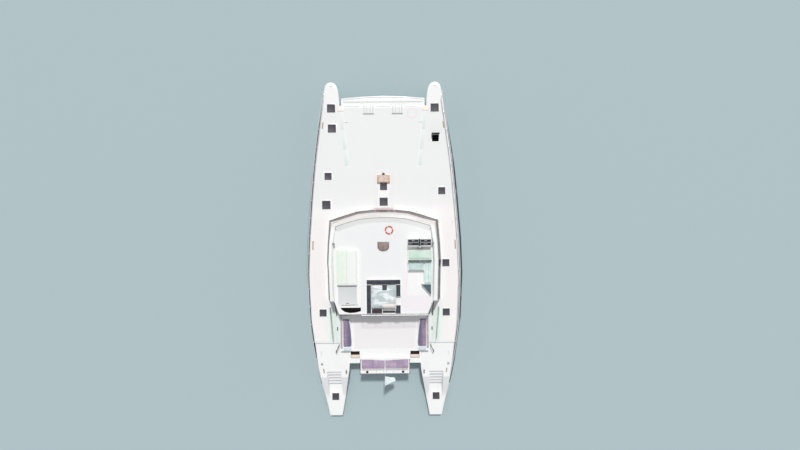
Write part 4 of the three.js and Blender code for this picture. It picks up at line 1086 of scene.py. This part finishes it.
def upholstery(name, low_colour, high_colour, weave=0.0, rough=0.5):
    """Vinyl or, with a weave, cloth, faded in patches and darker along its sewn seams, partly as soiling and partly
    as painted shade in the tucked creases.
    """
    made = Finish(name, Roughness=rough)
    seam = made.node("Attribute", {"attribute_name": "seam"}, {}, "Fac")
    faded = made.noise(1.6, 5, 0.6).step(0.38, 0.66)
    colour = made.mix(faded, low_colour, high_colour)
    # The seams are darkened partly as soiling and partly as painted shade in their tucked creases.
    soiling_and_painted_shade = tuple(channel * 0.55 for channel in low_colour)
    made.set(Base_Color=made.mix(seam * 0.7, colour, soiling_and_painted_shade))
    fine = made.noise(190, 3)
    if weave:
        fine = woven(made, weave) + fine * 0.5
        made.set(Roughness=rough + fine * 0.1)
    else:
        made.set(Roughness=rough - 0.08 + made.noise(14, 3) * 0.2)
    made.bump(fine - seam * 0.5, 0.0012)
    return made


def plump(name, outline, bottom, top, seams=(), fill=0.7, voxel=0.028, cap=0.028, seam_depth=0.022):
    """A stuffed cushion of a plan outline, blown up by a cloth simulation, then sewn along its seams."""
    piece = plate(outline, bottom, top, name)
    soften(piece, 0.035, 3)
    modify(piece, "REMESH", mode="VOXEL", voxel_size=voxel)
    modify(piece, "DISPLACE", strength=-cap * 0.8, mid_level=0.0)
    start = [point.co.copy() for point in piece.data.vertices]
    alone(piece)
    cloth = piece.modifiers.new("stuffing", "CLOTH")
    cloth.settings.quality = 4
    cloth.settings.mass = 0.4
    cloth.settings.use_pressure = True
    cloth.settings.uniform_pressure_force = 2.5
    cloth.settings.effector_weights.gravity = 0.0
    for count in range(1, 15):
        bpy.context.scene.frame_set(count)
    bpy.ops.object.modifier_apply(modifier=cloth.name)
    bpy.context.scene.frame_set(1)
    seam = piece.data.attributes.new("seam", "FLOAT", "POINT")
    for index, (point, was) in enumerate(zip(piece.data.vertices, start)):
        move = point.co - was
        if move.length > cap:
            point.co = was + move * (cap / move.length)
        if point.normal.z < -0.3 and point.co.z < bottom + 0.04:
            point.co.z = bottom
        near = 1.0
        for (x0, y0), (x1, y1) in seams:
            run = Vector((x1 - x0, y1 - y0))
            reach = Vector((point.co.x - x0, point.co.y - y0))
            share = min(1.0, max(0.0, reach.dot(run) / run.length_squared))
            near = min(near, (reach - run * share).length)
        if point.co.z > bottom + 0.02:
            tuck = math.exp(-(near / 0.030) ** 2)
            point.co.z -= seam_depth * tuck * max(0.0, point.normal.z)
            seam.data[index].value = math.exp(-(near / 0.016) ** 2)
    modify(piece, "SUBSURF", levels=1, render_levels=1)
    return piece


def cushion(name, outline, bottom, top, cover, slot, replaces=(), **settings):
    """A stuffed cushion in its cover."""
    dress(plump(name, outline, bottom, top, **settings), cover, slot=slot, replaces=replaces, smooth=80)


CORNER_STEPS = 4


def rounded_outline(low, high, radius=0.07):
    """The plan of a rectangle with rounded corners, anticlockwise."""
    outline = []
    for turn, (x, y) in enumerate([(high[0], high[1]), (low[0], high[1]), (low[0], low[1]), (high[0], low[1])]):
        cx = x - radius if x == high[0] else x + radius
        cy = y - radius if y == high[1] else y + radius
        for i in range(CORNER_STEPS + 1):
            angle = math.radians(90 * turn + 90 * i / CORNER_STEPS)
            outline.append((cx + radius * math.cos(angle), cy + radius * math.sin(angle)))
    return outline


mint_vinyl = upholstery("mint_vinyl", (0.55, 0.73, 0.62), (0.665, 0.81, 0.72))
teal_vinyl = upholstery("teal_vinyl", (0.49, 0.64, 0.62), (0.62, 0.76, 0.73))
pale_teal_vinyl = upholstery("pale_teal_vinyl", (0.60, 0.76, 0.72), (0.72, 0.86, 0.81))
slate_vinyl = upholstery("slate_vinyl", (0.045, 0.085, 0.12), (0.085, 0.13, 0.16))
SEAT_TOP = 4.9205
CUSHION = 0.130
cushion("helm_seat_pad", rounded_outline((2.11, -0.49), (4.09, 0.30)), SEAT_TOP, SEAT_TOP + CUSHION, mint_vinyl,
        "mint_vinyl", ["helm_seat_cushion"], seams=[((2.11, 0.20), (4.09, 0.20))], seam_depth=0.010)
bolster_vinyl = upholstery("bolster_vinyl", (0.035, 0.085, 0.080), (0.070, 0.135, 0.125))
cushion("helm_bolster", rounded_outline((2.09, -0.715), (4.09, -0.505), 0.05), 5.10, 5.335, bolster_vinyl,
        "charcoal_fabric", seams=[((3.10, -0.75), (3.10, -0.45))], cap=0.02)
cushion("helm_settee_pad", rounded_outline((2.11, -1.44), (3.45, -0.72)), SEAT_TOP, SEAT_TOP + CUSHION,
        teal_vinyl, "mint_vinyl", ["helm_settee_cushion"], seams=[((2.11, -0.98), (3.45, -0.98))],
        seam_depth=0.016)
cushion("helm_settee_leg_pad", rounded_outline((3.462, -2.555), (4.09, -0.72)), SEAT_TOP, SEAT_TOP + CUSHION,
        pale_teal_vinyl, "mint_vinyl", seams=[((3.80, -2.56), (3.80, -0.9))], seam_depth=0.016)
cushion("helm_corner_pad", [(3.25, -2.575), (3.25, -2.66), (3.95, -3.46), (4.04, -3.46), (4.04, -2.575)],
        SEAT_TOP, SEAT_TOP + CUSHION, slate_vinyl, "charcoal_fabric", cap=0.018, voxel=0.024)

# The lounge is a square ring of dark woven cushions round a pedestal table, each sewn with a seam
# along its front and cross seams where it folds for stowing. The after one has faded to russet, and
# a black strip lies across the gap that people step through, as painted shade at the deck's edge.
charcoal_cloth = upholstery("charcoal_cloth", (0.038, 0.045, 0.060), (0.062, 0.072, 0.092), weave=420, rough=0.88)
russet_cloth = upholstery("russet_cloth", (0.052, 0.036, 0.040), (0.092, 0.062, 0.062), weave=420, rough=0.88)
LOUNGE_BASE = 4.8305
LOUNGE_PADS = [
    # name, near corner, far corner, seams
    ("lounge_pad_front", (-1.46, -2.60), (1.46, -2.18),
     [((-0.49, -2.6), (-0.49, -2.18)), ((0.49, -2.6), (0.49, -2.18)), ((-1.46, -2.30), (1.46, -2.30))]),
    ("lounge_pad_port", (-1.46, -5.06), (-1.04, -2.605),
     [((-1.46, -3.42), (-1.04, -3.42)), ((-1.46, -4.24), (-1.04, -4.24)), ((-1.34, -5.06), (-1.34, -2.6))]),
    ("lounge_pad_starboard", (1.04, -3.63), (1.46, -2.605), [((1.34, -3.63), (1.34, -2.6))]),
    ("lounge_pad_aft", (-1.035, -5.06), (-0.10, -4.64), [((-1.04, -4.94), (-0.10, -4.94))]),
]
for i, (name, near, far, seams) in enumerate(LOUNGE_PADS):
    cushion(name, rounded_outline(near, far, 0.05), LOUNGE_BASE, LOUNGE_BASE + CUSHION,
            russet_cloth if name.endswith("aft") else charcoal_cloth, "charcoal_fabric",
            ["lounge_cushion"] if i == 0 else (), seams=seams, cap=0.022)
CORNER = [(1.0, -5.06), (1.46, -5.06), (1.46, -4.34), (1.04, -4.34), (1.04, -4.64), (1.0, -4.64)]
cushion("lounge_pad_corner", CORNER, LOUNGE_BASE, LOUNGE_BASE + CUSHION, charcoal_cloth, "charcoal_fabric",
        ["lounge_corner_cushion"], seams=[((1.34, -5.06), (1.34, -4.34))], cap=0.022)
# This black strip across the walkway stands for the shade at the deck's edge: it is painted shade.
sill = rounded_block((-0.09, -5.06, ROOF_Z - 0.002), (0.99, -4.88, ROOF_Z + 0.03), 0.012, 3)
dress(sill, black_plastic, name="lounge_step_sill", slot="charcoal_fabric")

# The sunpad is one wide mattress of sun-bleached mint vinyl with a seam down its middle, on a white
# plinth.
pale_mint_vinyl = upholstery("pale_mint_vinyl", (0.745, 0.84, 0.72), (0.80, 0.86, 0.785))
inboard = pale_mint_vinyl.axis("X").step(-3.5, -2.7)
pale_mint_vinyl.set(Base_Color=pale_mint_vinyl.mix(inboard * 0.8, pale_mint_vinyl.colour(), (0.855, 0.865, 0.85)))
cushion("sunpad_mattress", rounded_outline((-4.0, -2.70), (-2.22, 0.40), 0.10), 4.7305, 4.880, pale_mint_vinyl,
        "mint_vinyl", ["sunpad_cushion"], seams=[((-3.11, -2.7), (-3.11, 0.4))], voxel=0.034, cap=0.03,
        seam_depth=0.008)

# A loose brown vinyl pad lies amidships on the roof. It is sewn in the shape of a shield, with a
# welted rim and two stuffed lobes.
brown_vinyl = upholstery("brown_vinyl", (0.24, 0.175, 0.155), (0.38, 0.31, 0.29))
SHIELD = [(0.53, 1.03), (-0.53, 1.03)]
for i in range(11):
    turn = math.pi * (1 + i / 10)
    SHIELD.append((0.53 * math.cos(turn), 0.56 + 0.40 * math.sin(turn)))
RIM_SEAM = [(x * 0.84, 0.62 + (y - 0.62) * 0.80) for x, y in SHIELD]
cushion("roof_pad_cushion", SHIELD, 4.5025, 4.605, brown_vinyl, "brown_pad", ["roof_pad"],
        seams=[((0, 0.2), (0, 1.03)), *zip(RIM_SEAM, RIM_SEAM[1:] + RIM_SEAM[:1])], voxel=0.022, cap=0.02,
        seam_depth=0.03)

# The lifebuoy is a hard foam ring with a cloth skin, four pale bands, and a grab line seated in
# the groove round its rim.
BUOY = Vector((0.50, 2.00, 4.5565))
buoy_skin = Finish("buoy_skin", Roughness=0.6)
buoy_turned = buoy_skin.node("Mapping", {}, {"Vector": buoy_skin.place, "Location": (-BUOY.x, -BUOY.y, 0)})
buoy_x, buoy_y = buoy_skin.axis("X", buoy_turned), buoy_skin.axis("Y", buoy_turned)
round_buoy = buoy_skin.maths("ARCTAN2", buoy_y, buoy_x) * (2 / math.pi) + 4.25
in_quarter = abs(buoy_skin.maths("FRACT", round_buoy) - 0.5)
banded = in_quarter.step(0.075, 0.055)
worn = buoy_skin.noise(7, 4).step(0.4, 0.7)
buoy_colour = buoy_skin.mix(worn, (0.55, 0.085, 0.050), (0.70, 0.17, 0.12))
buoy_skin.set(Base_Color=buoy_skin.mix(banded, buoy_colour, (0.80, 0.79, 0.76)))
buoy_skin.bump(buoy_skin.noise(160, 3) + banded * 0.6, 0.0012)
ring = added("torus", location=BUOY, major_radius=0.315, minor_radius=0.054, major_segments=80, minor_segments=18)
work(ring, "VERT", lambda point: point.co.xy.length > 0.364,
     partial(bpy.ops.transform.resize, value=(0.985, 0.985, 1)))
dress(ring, buoy_skin, name="lifebuoy_ring", slot="lifebuoy_foam", replaces=["lifebuoy"], smooth=60)
rope_white = Finish("rope_white", Roughness=0.9)
strands = waves(rope_white, "DIAGONAL", 60.0)
rope_white.set(Base_Color=rope_white.mix(strands, (0.66, 0.64, 0.58), (0.80, 0.78, 0.73)))
rope_white.bump(strands, 0.0015)
line = added("torus", location=BUOY, major_radius=0.361, minor_radius=0.008, major_segments=80, minor_segments=8)
work(line, "VERT", lambda point: point.index % 16 < 2,
     partial(bpy.ops.transform.resize, value=(0.997, 0.997, 1.3)))
dress(line, rope_white, name="lifebuoy_line", slot="lifebuoy_foam", smooth=60)

# A pedestal table stands in the middle of the lounge under a loose grey-blue weather cover with a
# dark sewn patch. Its edges slope down to the seats and wrinkle where they meet them.
refinish(house_gelcoat, "lounge_table")
cover_cloth = Finish("cover_cloth", Roughness=0.8)
# The cover is blotched darker in long streaks, partly as dirt and partly as painted shade in its folds.
dirt_and_fold_shade = cover_cloth.noise(1.1, 5, 0.62, cover_cloth.stretched((1, 2.6, 1), math.radians(-24))).step(0.40, 0.60)
cover_colour = cover_cloth.mix(dirt_and_fold_shade, (0.50, 0.57, 0.58), (0.82, 0.86, 0.86))
cover_x, cover_y = cover_cloth.axis("X"), cover_cloth.axis("Y")
bleached = cover_x.step(-0.10, 0.02) * cover_y.step(-4.12, -4.24)
cover_colour = cover_cloth.mix(bleached, cover_colour, (0.86, 0.79, 0.74))
ragged = cover_cloth.noise(3.5, 3) * 0.16 - 0.08
patch = (abs(cover_x - 0.10) + ragged).step(0.205, 0.190)
patch = patch * (abs(cover_y + 2.82) - ragged).step(0.215, 0.200)
cover_cloth.set(Base_Color=cover_cloth.mix(patch, cover_colour, (0.055, 0.062, 0.075)))
cover_cloth.bump(woven(cover_cloth, 300.0) + cover_cloth.noise(30, 4), 0.0015)
TABLE_LOW, TABLE_HIGH = Vector((-0.80, -4.38)), Vector((0.80, -2.86))
COVER_LOW, COVER_HIGH = Vector((-1.02, -4.53)), Vector((1.03, -2.64))
COVER_DROP = 1.12
cover = added("grid", x_subdivisions=96, y_subdivisions=90, size=1)
for point in cover.data.vertices:
    x = COVER_LOW.x + (COVER_HIGH.x - COVER_LOW.x) * (point.co.x + 0.5)
    y = COVER_LOW.y + (COVER_HIGH.y - COVER_LOW.y) * (point.co.y + 0.5)
    beyond_x = max(TABLE_LOW.x - x, x - TABLE_HIGH.x, 0.0)
    beyond_y = max(TABLE_LOW.y - y, y - TABLE_HIGH.y, 0.0)
    beyond = math.hypot(beyond_x, beyond_y)
    rumple = noise.noise((x * 2.1, y * 3.4, 1.7)) + 0.5 * noise.noise((x * 6.0 + y * 3.0, y * 5.0, 4.2))
    ridge = 1.0 - abs(noise.noise((x * 1.6 + y * 1.1, y * 2.2 - x * 0.9, 9.1)))
    fold = noise.noise((x * 9.0, y * 9.0, 2.0)) * min(1.0, beyond / 0.12)
    z = 5.272 + 0.012 * max(0.0, rumple) + 0.020 * max(0.0, ridge - 0.86) / 0.14
    point.co = (x + 0.03 * fold * (beyond_y > beyond_x), y + 0.03 * fold * (beyond_x > beyond_y),
                z - COVER_DROP * beyond ** 1.15 + 0.025 * fold)
modify(cover, "SOLIDIFY", thickness=0.002, offset=1.0)
dress(cover, cover_cloth, name="table_cover", slot="table_cover", smooth=80)

# The cockpit has a moulded locker bench along each side under a mauve cushion, with a padded top on
# its back rest and a pale blue bolster at its after end. Outboard of each, a green glass wind screen
# stands in a steel frame between two mint mouldings, and a bent grab bar ends the bench.
mauve_cloth = upholstery("mauve_cloth", (0.36, 0.28, 0.40), (0.49, 0.39, 0.50), weave=380, rough=0.85)
worn_mauve_cloth = upholstery("worn_mauve_cloth", (0.28, 0.22, 0.31), (0.36, 0.28, 0.38), weave=380, rough=0.85)
# The side bench cushions' cloth is painted darker and bluer over its inboard part, as painted shade on the cushions'
# rounded inner side.
inner_painted_shade = abs(worn_mauve_cloth.axis("X")).step(3.46, 3.18)
shaded_inner_colour = worn_mauve_cloth.mix(inner_painted_shade * 0.85, worn_mauve_cloth.colour(), (0.150, 0.135, 0.235))
worn_mauve_cloth.set(Base_Color=shaded_inner_colour)
rest_cloth = upholstery("rest_cloth", (0.38, 0.33, 0.38), (0.50, 0.44, 0.49), weave=380, rough=0.85)
pale_blue_cloth = upholstery("pale_blue_cloth", (0.56, 0.64, 0.72), (0.70, 0.77, 0.82), weave=380, rough=0.85)
pale_glass = mottled("pale_glass", ((0.42, 0.64, 0.53), (0.56, 0.76, 0.66)), (1.5, 4), rough=(0.22, 5, 4, 0.12),
                     IOR=1.5, Alpha=0.82)
mint_gelcoat = gelcoat("mint_gelcoat", (0.79, 0.90, 0.84))
BENCH_TOP = 2.7005
refinish(house_gelcoat, "side_bench_port", "side_bench_starboard", "aft_bench")
refinish(pale_glass, "side_screen_port", "side_screen_starboard")
SIDE_BENCH = [(3.11, -5.86), (3.71, -5.86), (3.71, -8.28), (3.62, -8.35), (3.05, -8.35), (2.92, -8.24), (2.89, -7.9),
              (2.97, -6.9)]
GRAB_BAR = [(4.10, -8.30, AFT_DECK_Z), (4.10, -8.30, 2.80), (4.13, -8.37, 2.86), (4.30, -8.74, 2.86),
            (4.33, -8.81, 2.80), (4.33, -8.81, AFT_DECK_Z)]
SCREEN_FORE, SCREEN_AFT = (4.822, -4.85), (4.562, -7.67)
SCREEN_LOW, SCREEN_HIGH = 2.31, 3.205
for side, sign in SIDES:
    outline = [(sign * x, y) for x, y in SIDE_BENCH]
    if sign > 0:
        outline.reverse()
    crossings = [((sign * 2.8, y), (sign * 3.9, y)) for y in (-6.66, -7.50)]
    cushion(f"side_bench_pad_{side}", outline, BENCH_TOP, BENCH_TOP + 0.14, worn_mauve_cloth, "mauve_fabric",
            [f"side_cushion_{side}"], seams=crossings, voxel=0.034, cap=0.03)
    near, far = sorted((sign * 3.735, sign * 3.895))
    cushion(f"bench_rest_pad_{side}", rounded_outline((near, -8.36), (far, -5.62), 0.04), 2.9805, 3.060,
            rest_cloth, "mauve_fabric", seams=[((near, y), (far, y)) for y in (-6.66, -7.50)], cap=0.014,
            voxel=0.022)
    near, far = sorted((sign * 3.00, sign * 3.66))
    cushion(f"bench_bolster_{side}", rounded_outline((near, -8.69), (far, -8.42), 0.05), BENCH_TOP,
            BENCH_TOP + 0.17, pale_blue_cloth, "mauve_fabric", cap=0.02, voxel=0.024)
    for strip, (x0, x1) in (("inner", (4.43, 4.26)), ("outer", (4.98, 4.70))):
        ends = (sign * x0, -5.10, DECK_Z + 0.012), (sign * x1, -8.02, DECK_Z + 0.012)
        moulding = plank(*ends, 0.17, 0.03, (0, 0, 1), 0.012)
        dress(moulding, mint_gelcoat, name=f"screen_moulding_{strip}_{side}", slot="gelcoat")
    bar = tube("bar", [[(sign * x, y, z) for x, y, z in GRAB_BAR]], 0.032, sides=4)
    feet = [ring_foot((sign * x, y, z), 0.045, 0.012) for x, y, z in (GRAB_BAR[0], GRAB_BAR[-1])]
    latch = rounded_block((sign * 4.22 - 0.04, -6.98, DECK_Z), (sign * 4.22 + 0.04, -6.66, DECK_Z + 0.05), 0.015, 3)
    dress(join([bar, *feet, latch], f"bench_grab_bar_{side}"), black_plastic, slot="rail_steel")
    (x0, y0), (x1, y1) = SCREEN_FORE, SCREEN_AFT
    corners = [(x0, y0, SCREEN_LOW), (x0, y0, SCREEN_HIGH), (x1, y1, SCREEN_HIGH), (x1, y1, SCREEN_LOW)]
    frame_parts = [tube("frame", [[(sign * x, y, z) for x, y, z in corners]], 0.020, sides=4)]
    for y in (-5.79, -6.73):
        x = x0 + (x1 - x0) * (y - y0) / (y1 - y0)
        frame_parts.append(tube("post", [[(sign * x, y, z) for z in (SCREEN_LOW, SCREEN_HIGH)]], 0.016, sides=4))
        frame_parts.append(ring_foot((sign * x, y, DECK_Z), 0.045, 0.012))
    dress(join(frame_parts, f"screen_frame_{side}"), steel, slot="rail_steel")

# The aft bench stands on its shelf behind the cockpit. Two mauve cushions meet at its middle, its
# white back has dark snap caps, and a black-coated arm rail closes each end.
AFT_BENCH = [(0.015, -9.53), (0.5, -9.49), (1.1, -9.45), (1.7, -9.43), (2.05, -9.43), (2.12, -9.52), (2.12, -10.26),
             (2.05, -10.325), (0.015, -10.325)]
for side, sign in SIDES:
    outline = [(sign * x, y) for x, y in AFT_BENCH]
    if sign > 0:
        outline.reverse()
    cushion(f"aft_bench_pad_{side}", outline, BENCH_TOP, BENCH_TOP + 0.14, mauve_cloth, "mauve_fabric",
            [f"aft_cushion_{side}"],
            seams=[((sign * 1.07, -9.4), (sign * 1.07, -10.4)), ((0, -10.12), (sign * 2.13, -10.12))],
            voxel=0.034, cap=0.03)
# The dark welt that fills the gap between the two aft cushions is painted shade in that gap.
welt = rounded_block((-0.012, -10.30, BENCH_TOP), (0.012, -9.54, BENCH_TOP + 0.11), 0.01)
dress(welt, worn_mauve_cloth, name="aft_bench_welt", slot="mauve_fabric")
caps = [ring_foot((x, -10.465, 3.150), 0.11, 0.020) for x in (-1.55, 1.60)]
caps += [ring_foot((x, -10.45, 3.150), 0.025, 0.010) for x in (-0.75, -0.12, 0.12, 0.75)]
dress(join(caps, "bench_caps"), black_plastic, slot="charcoal_fabric")
ARM = [(-9.62, DECK_Z), (-9.62, 3.02), (-9.70, 3.12), (-10.64, 3.12), (-10.72, 3.04), (-10.72, DECK_Z)]
arms = []
for x in (-2.185, 2.185):
    arms.append(tube("arm", [[(x, y, z) for y, z in ARM]], 0.018, sides=4))
    arms += [ring_foot((x, y, z), 0.045, 0.012) for y, z in (ARM[0], ARM[-1])]
dress(join(arms, "bench_arm_rails"), black_plastic, slot="rail_steel")

# Step wells with a bleached teak tread go down beside the aft bench; their near-black russet lining
# is painted shade. The stern steps have pale non-skid treads behind grey nosings.
teak = Finish("bleached_teak", Roughness=0.7)
teak_grain = teak.noise(9, 6, 0.65, teak.stretched((0.6, 7, 7)))
teak.set(Base_Color=teak.mix(teak_grain, (0.80, 0.66, 0.52), (0.90, 0.86, 0.78)))
teak.bump(teak_grain, 0.0012)
# The step wells' near-black russet lining is painted shade in the wells.
well_shade_cloth = mottled("russet_lining", ((0.012, 0.007, 0.006), (0.060, 0.026, 0.020)), (6, 4),
                     grain=(90, 2, 0.002), Roughness=0.95)
well_painted_shades, well_treads = [], []
for sign in (-1, 1):
    x0, x1 = sorted((sign * 2.275, sign * 3.065))
    well_painted_shades.append(lined(block((x0, -9.445, 2.002), (x1, -8.845, 2.290))))
    for slat in range(3):
        y = -9.435 + slat * 0.093
        well_treads.append(rounded_block((x0 + 0.01, y, 2.22), (x1 - 0.01, y + 0.085, 2.245), 0.005))
dress(join(well_painted_shades, "step_well_linings"), well_shade_cloth, slot="timber")
dress(join(well_treads, "step_well_treads"), teak, slot="timber")
pale_tread = mottled("pale_tread", ((0.60, 0.64, 0.66), (0.70, 0.73, 0.74)), (5, 4), Roughness=0.8)
rib(pale_tread)
STERN_STEPS, STERN_RUN, STERN_FROM, STERN_RISE = 5, 0.34, -10.70, 0.28
nosings, treads = [], []
for sign in (-1, 1):
    x0, x1 = sorted((sign * 4.06, sign * 5.09))
    for step in range(STERN_STEPS - 1):
        y, z = STERN_FROM - STERN_RUN * step, AFT_DECK_Z - STERN_RISE * (step + 1)
        nosings.append(rounded_block((x0, y - 0.33, z - 0.004), (x1, y - 0.27, z + 0.007), 0.003))
        treads.append(rounded_block((x0, y - 0.24, z - 0.004), (x1, y - 0.04, z + 0.004), 0.002))
dress(join(nosings, "stern_nosings"), pale_tread, slot="gelcoat")
dress(join(treads, "stern_treads"), deck_grip, slot="gelcoat")

# The ensign staff is a raked steel pole in a socket. Its pale flag hangs from it in pleats, lifted
# a little by the wind.
refinish(steel, "ensign_staff")
flag_cloth = Finish("flag_cloth", Roughness=0.85)
flag_weave = waves(flag_cloth, "DIAGONAL", 220.0)
faded = flag_cloth.noise(2.5, 4).step(0.35, 0.6)
flag_cloth.set(Base_Color=flag_cloth.mix(faded, (0.72, 0.86, 0.88), (0.92, 0.94, 0.94)))
flag_cloth.bump(flag_weave + flag_cloth.noise(20, 3) * 2, 0.0012)
HOIST_LOW, HOIST_HIGH = Vector((0.022, -10.88, 3.10)), Vector((0.022, -11.39, 4.15))
FLY_LOW, FLY_HIGH = Vector((0.86, -11.14, 2.72)), Vector((0.93, -11.22, 3.30))
PLEATS, PLEAT_DEPTH = 6.2, 0.042
flag = added("grid", x_subdivisions=72, y_subdivisions=96, size=1)
for point in flag.data.vertices:
    out, up = point.co.x + 0.5, point.co.y + 0.5
    near = HOIST_LOW.lerp(HOIST_HIGH, up)
    far = FLY_LOW.lerp(FLY_HIGH, up)
    pleat = PLEAT_DEPTH * out ** 1.3 * math.sin(2 * math.pi * PLEATS * up + 1.6 * out)
    ripple = 0.022 * math.sin(out * 9 - up * 3) * min(1.0, out * 3)
    point.co = near.lerp(far, out) + Vector((0.09, 0.89, 0.44)) * (pleat + ripple)
modify(flag, "SOLIDIFY", thickness=0.0015, offset=0.0)
dress(flag, flag_cloth, name="ensign_flag", slot="flag_cloth", replaces=["ensign"], smooth=80)

# Deck fittings are cast or turned metal, bolted through the deck: cleats on the bows, foredeck and
# quarters, filler caps, and tan leather chafe pads along the side decks.
BRIGHT_CLEATS = [
    # x, y, deck height, length, turned across the boat
    (3.34, 11.66, 2.30, 0.36, True), (6.14, 2.60, 2.30, 0.34, False), (5.72, -9.0, 2.15, 0.34, False),
    (4.62, 14.86, 2.418, 0.26, True),
]
CAST_CLEATS = [(3.48, -10.72, 2.15, 0.36, False)]
HORN = [(-1, 0.075), (-0.6, 0.062), (0.6, 0.062), (1, 0.075)]
cast_alloy = mottled("cast_alloy", ((0.30, 0.30, 0.31), (0.48, 0.48, 0.49)), (30, 4), rough=(0.35, 60, 3, 0.2),
                     grain=(90, 3, 0.0006), Metallic=0.9)


def cleat(x, y, deck, length, across_boat, bar=0.016):
    """A cleat's horn and its two feet."""
    reach = Vector((length / 2, 0, 0)) if across_boat else Vector((0, length / 2, 0))
    middle = Vector((x, y, deck))
    run = [middle + reach * out + Vector((0, 0, rise)) for out, rise in HORN]
    feet = [ring_foot(middle + reach * end, bar * 1.6, 0.045) for end in (-0.36, 0.36)]
    return [tube("horn", [run], bar), *feet]


bright = [part for x, *rest in BRIGHT_CLEATS for sign in (-1, 1) for part in cleat(sign * x, *rest)]
dress(join(bright, "deck_cleats"), steel, slot="rail_steel")
cast = [part for x, *rest in CAST_CLEATS for sign in (-1, 1) for part in cleat(sign * x, *rest, bar=0.045)]
dress(join(cast, "quarter_cleats"), cast_alloy, slot="rail_steel")
filler_caps = [ring_foot((sign * 5.66, -10.02, 2.15), 0.12, 0.010) for sign in (-1, 1)]
dress(join(filler_caps, "filler_caps"), wire_steel, slot="rail_steel")
chafe_leather = mottled("chafe_leather", ((0.30, 0.19, 0.11), (0.56, 0.42, 0.28)), (9, 4), Roughness=0.75)
chafe_leather.bump(chafe_leather.cells(120), 0.0008)
CHAFE_PADS = [(5.40, 11.38, 0.58), (6.36, 0.66, 0.80), (5.50, -10.62, 0.40)]
pads = []
for sign in (-1, 1):
    for x, y, length in CHAFE_PADS:
        deck = deck_edge(y)[1]
        lean = math.atan2(deck_edge(y - 0.3)[0] - deck_edge(y + 0.3)[0], 0.6)
        pads.append(rounded_block((sign * x - 0.05, y - length / 2, deck - 0.004),
                                  (sign * x + 0.05, y + length / 2, deck + 0.02), 0.01, 3, turn=sign * lean))
dress(join(pads, "chafe_pads"), chafe_leather, slot="windlass_cover")

# Portholes are let into the dark band, four on each side. Each is a dark pane bedded in a rim of
# cast alloy on the hull's side.
PORTHOLES_Y = (8.4, 5.2, -3.6, -6.2)
KNUCKLE_OUT, KNUCKLE_Z = 0.38, 1.20


def topside(y, z):
    """How far out the hull's side is at y and z, with the porthole's rim on it."""
    edge, deck = deck_edge(y)
    return edge + KNUCKLE_OUT * (deck - z) / (deck - KNUCKLE_Z) + 0.004


portholes, panes = [], []
for sign in (-1, 1):
    for y in PORTHOLES_Y:
        for group, z0, z1, length, thick in ((portholes, 1.55, 1.86, 0.86, 0.020), (panes, 1.59, 1.82, 0.76, 0.026)):
            foot, head = [(sign * topside(y, z), y, z) for z in (z0, z1)]
            group.append(plank(foot, head, length, thick, (sign, 0, 0.35), 0.006))
dress(join(portholes, "porthole_rims"), cast_alloy, slot="rail_steel")
dress(join(panes, "porthole_panes"), screen_glass, slot="tinted_glass")

# The propellers are four-bladed bronze castings on stub shafts. Each balanced rudder is a faired
# fibreglass blade with antifouling on it, turning on its stock.
bronze = Finish("cast_bronze", Metallic=0.9)
tarnish = bronze.noise(5, 5, 0.62).step(0.42, 0.66)
bronze.set(Base_Color=bronze.mix(tarnish, (0.62, 0.40, 0.18), (0.26, 0.24, 0.15)))
bronze.set(Roughness=0.28 + tarnish * 0.4)
bronze.bump(bronze.noise(40, 4), 0.0008)
antifouling = mottled("antifouling", ((0.035, 0.055, 0.075), (0.07, 0.10, 0.10)), (5, 4), grain=(25, 4, 0.0015),
                      Roughness=0.75)
refinish(bronze, "propeller_port", "propeller_starboard")
refinish(antifouling, "rudder_port", "rudder_starboard")

# The saloon sofa is an oak base with a boarded back along the port side, and a short leg across its
# forward end. Loose stuffed cushions in mauve cloth make its seats and backs.
SOFA_FLOOR = 2.3055
sofa_base = [rounded_block((-4.295, -2.295, SOFA_FLOOR), (-3.505, 1.495, 2.73), 0.02),
             rounded_block((-3.58, 0.805, SOFA_FLOOR), (-1.805, 1.495, 2.73), 0.02),
             rounded_block((-4.395, -2.295, SOFA_FLOOR), (-4.33, 1.495, 3.12), 0.02)]
dress(join(sofa_base, "sofa_base"), oak, slot="timber", replaces=["saloon_sofa"])
for i, (near, far) in enumerate(((0.22, 1.48), (-1.03, 0.20), (-2.28, -1.05))):
    cushion(f"sofa_back_{i + 1}", rounded_outline((-4.325, near), (-4.20, far), 0.03), 2.732, 3.11, mauve_cloth,
            "mauve_fabric", cap=0.014, voxel=0.036)
SOFA_SEATS = [((-4.19, 0.82), (-3.52, 1.48)), ((-4.19, -0.20), (-3.52, 0.80)), ((-4.19, -1.24), (-3.52, -0.22)),
              ((-4.19, -2.28), (-3.52, -1.26)), ((-3.50, 0.82), (-2.66, 1.48)), ((-2.64, 0.82), (-1.82, 1.48))]
for i, (near, far) in enumerate(SOFA_SEATS):
    cushion(f"sofa_seat_{i + 1}", rounded_outline(near, far, 0.06), 2.732, 2.87, mauve_cloth, "mauve_fabric",
            cap=0.025, voxel=0.036)
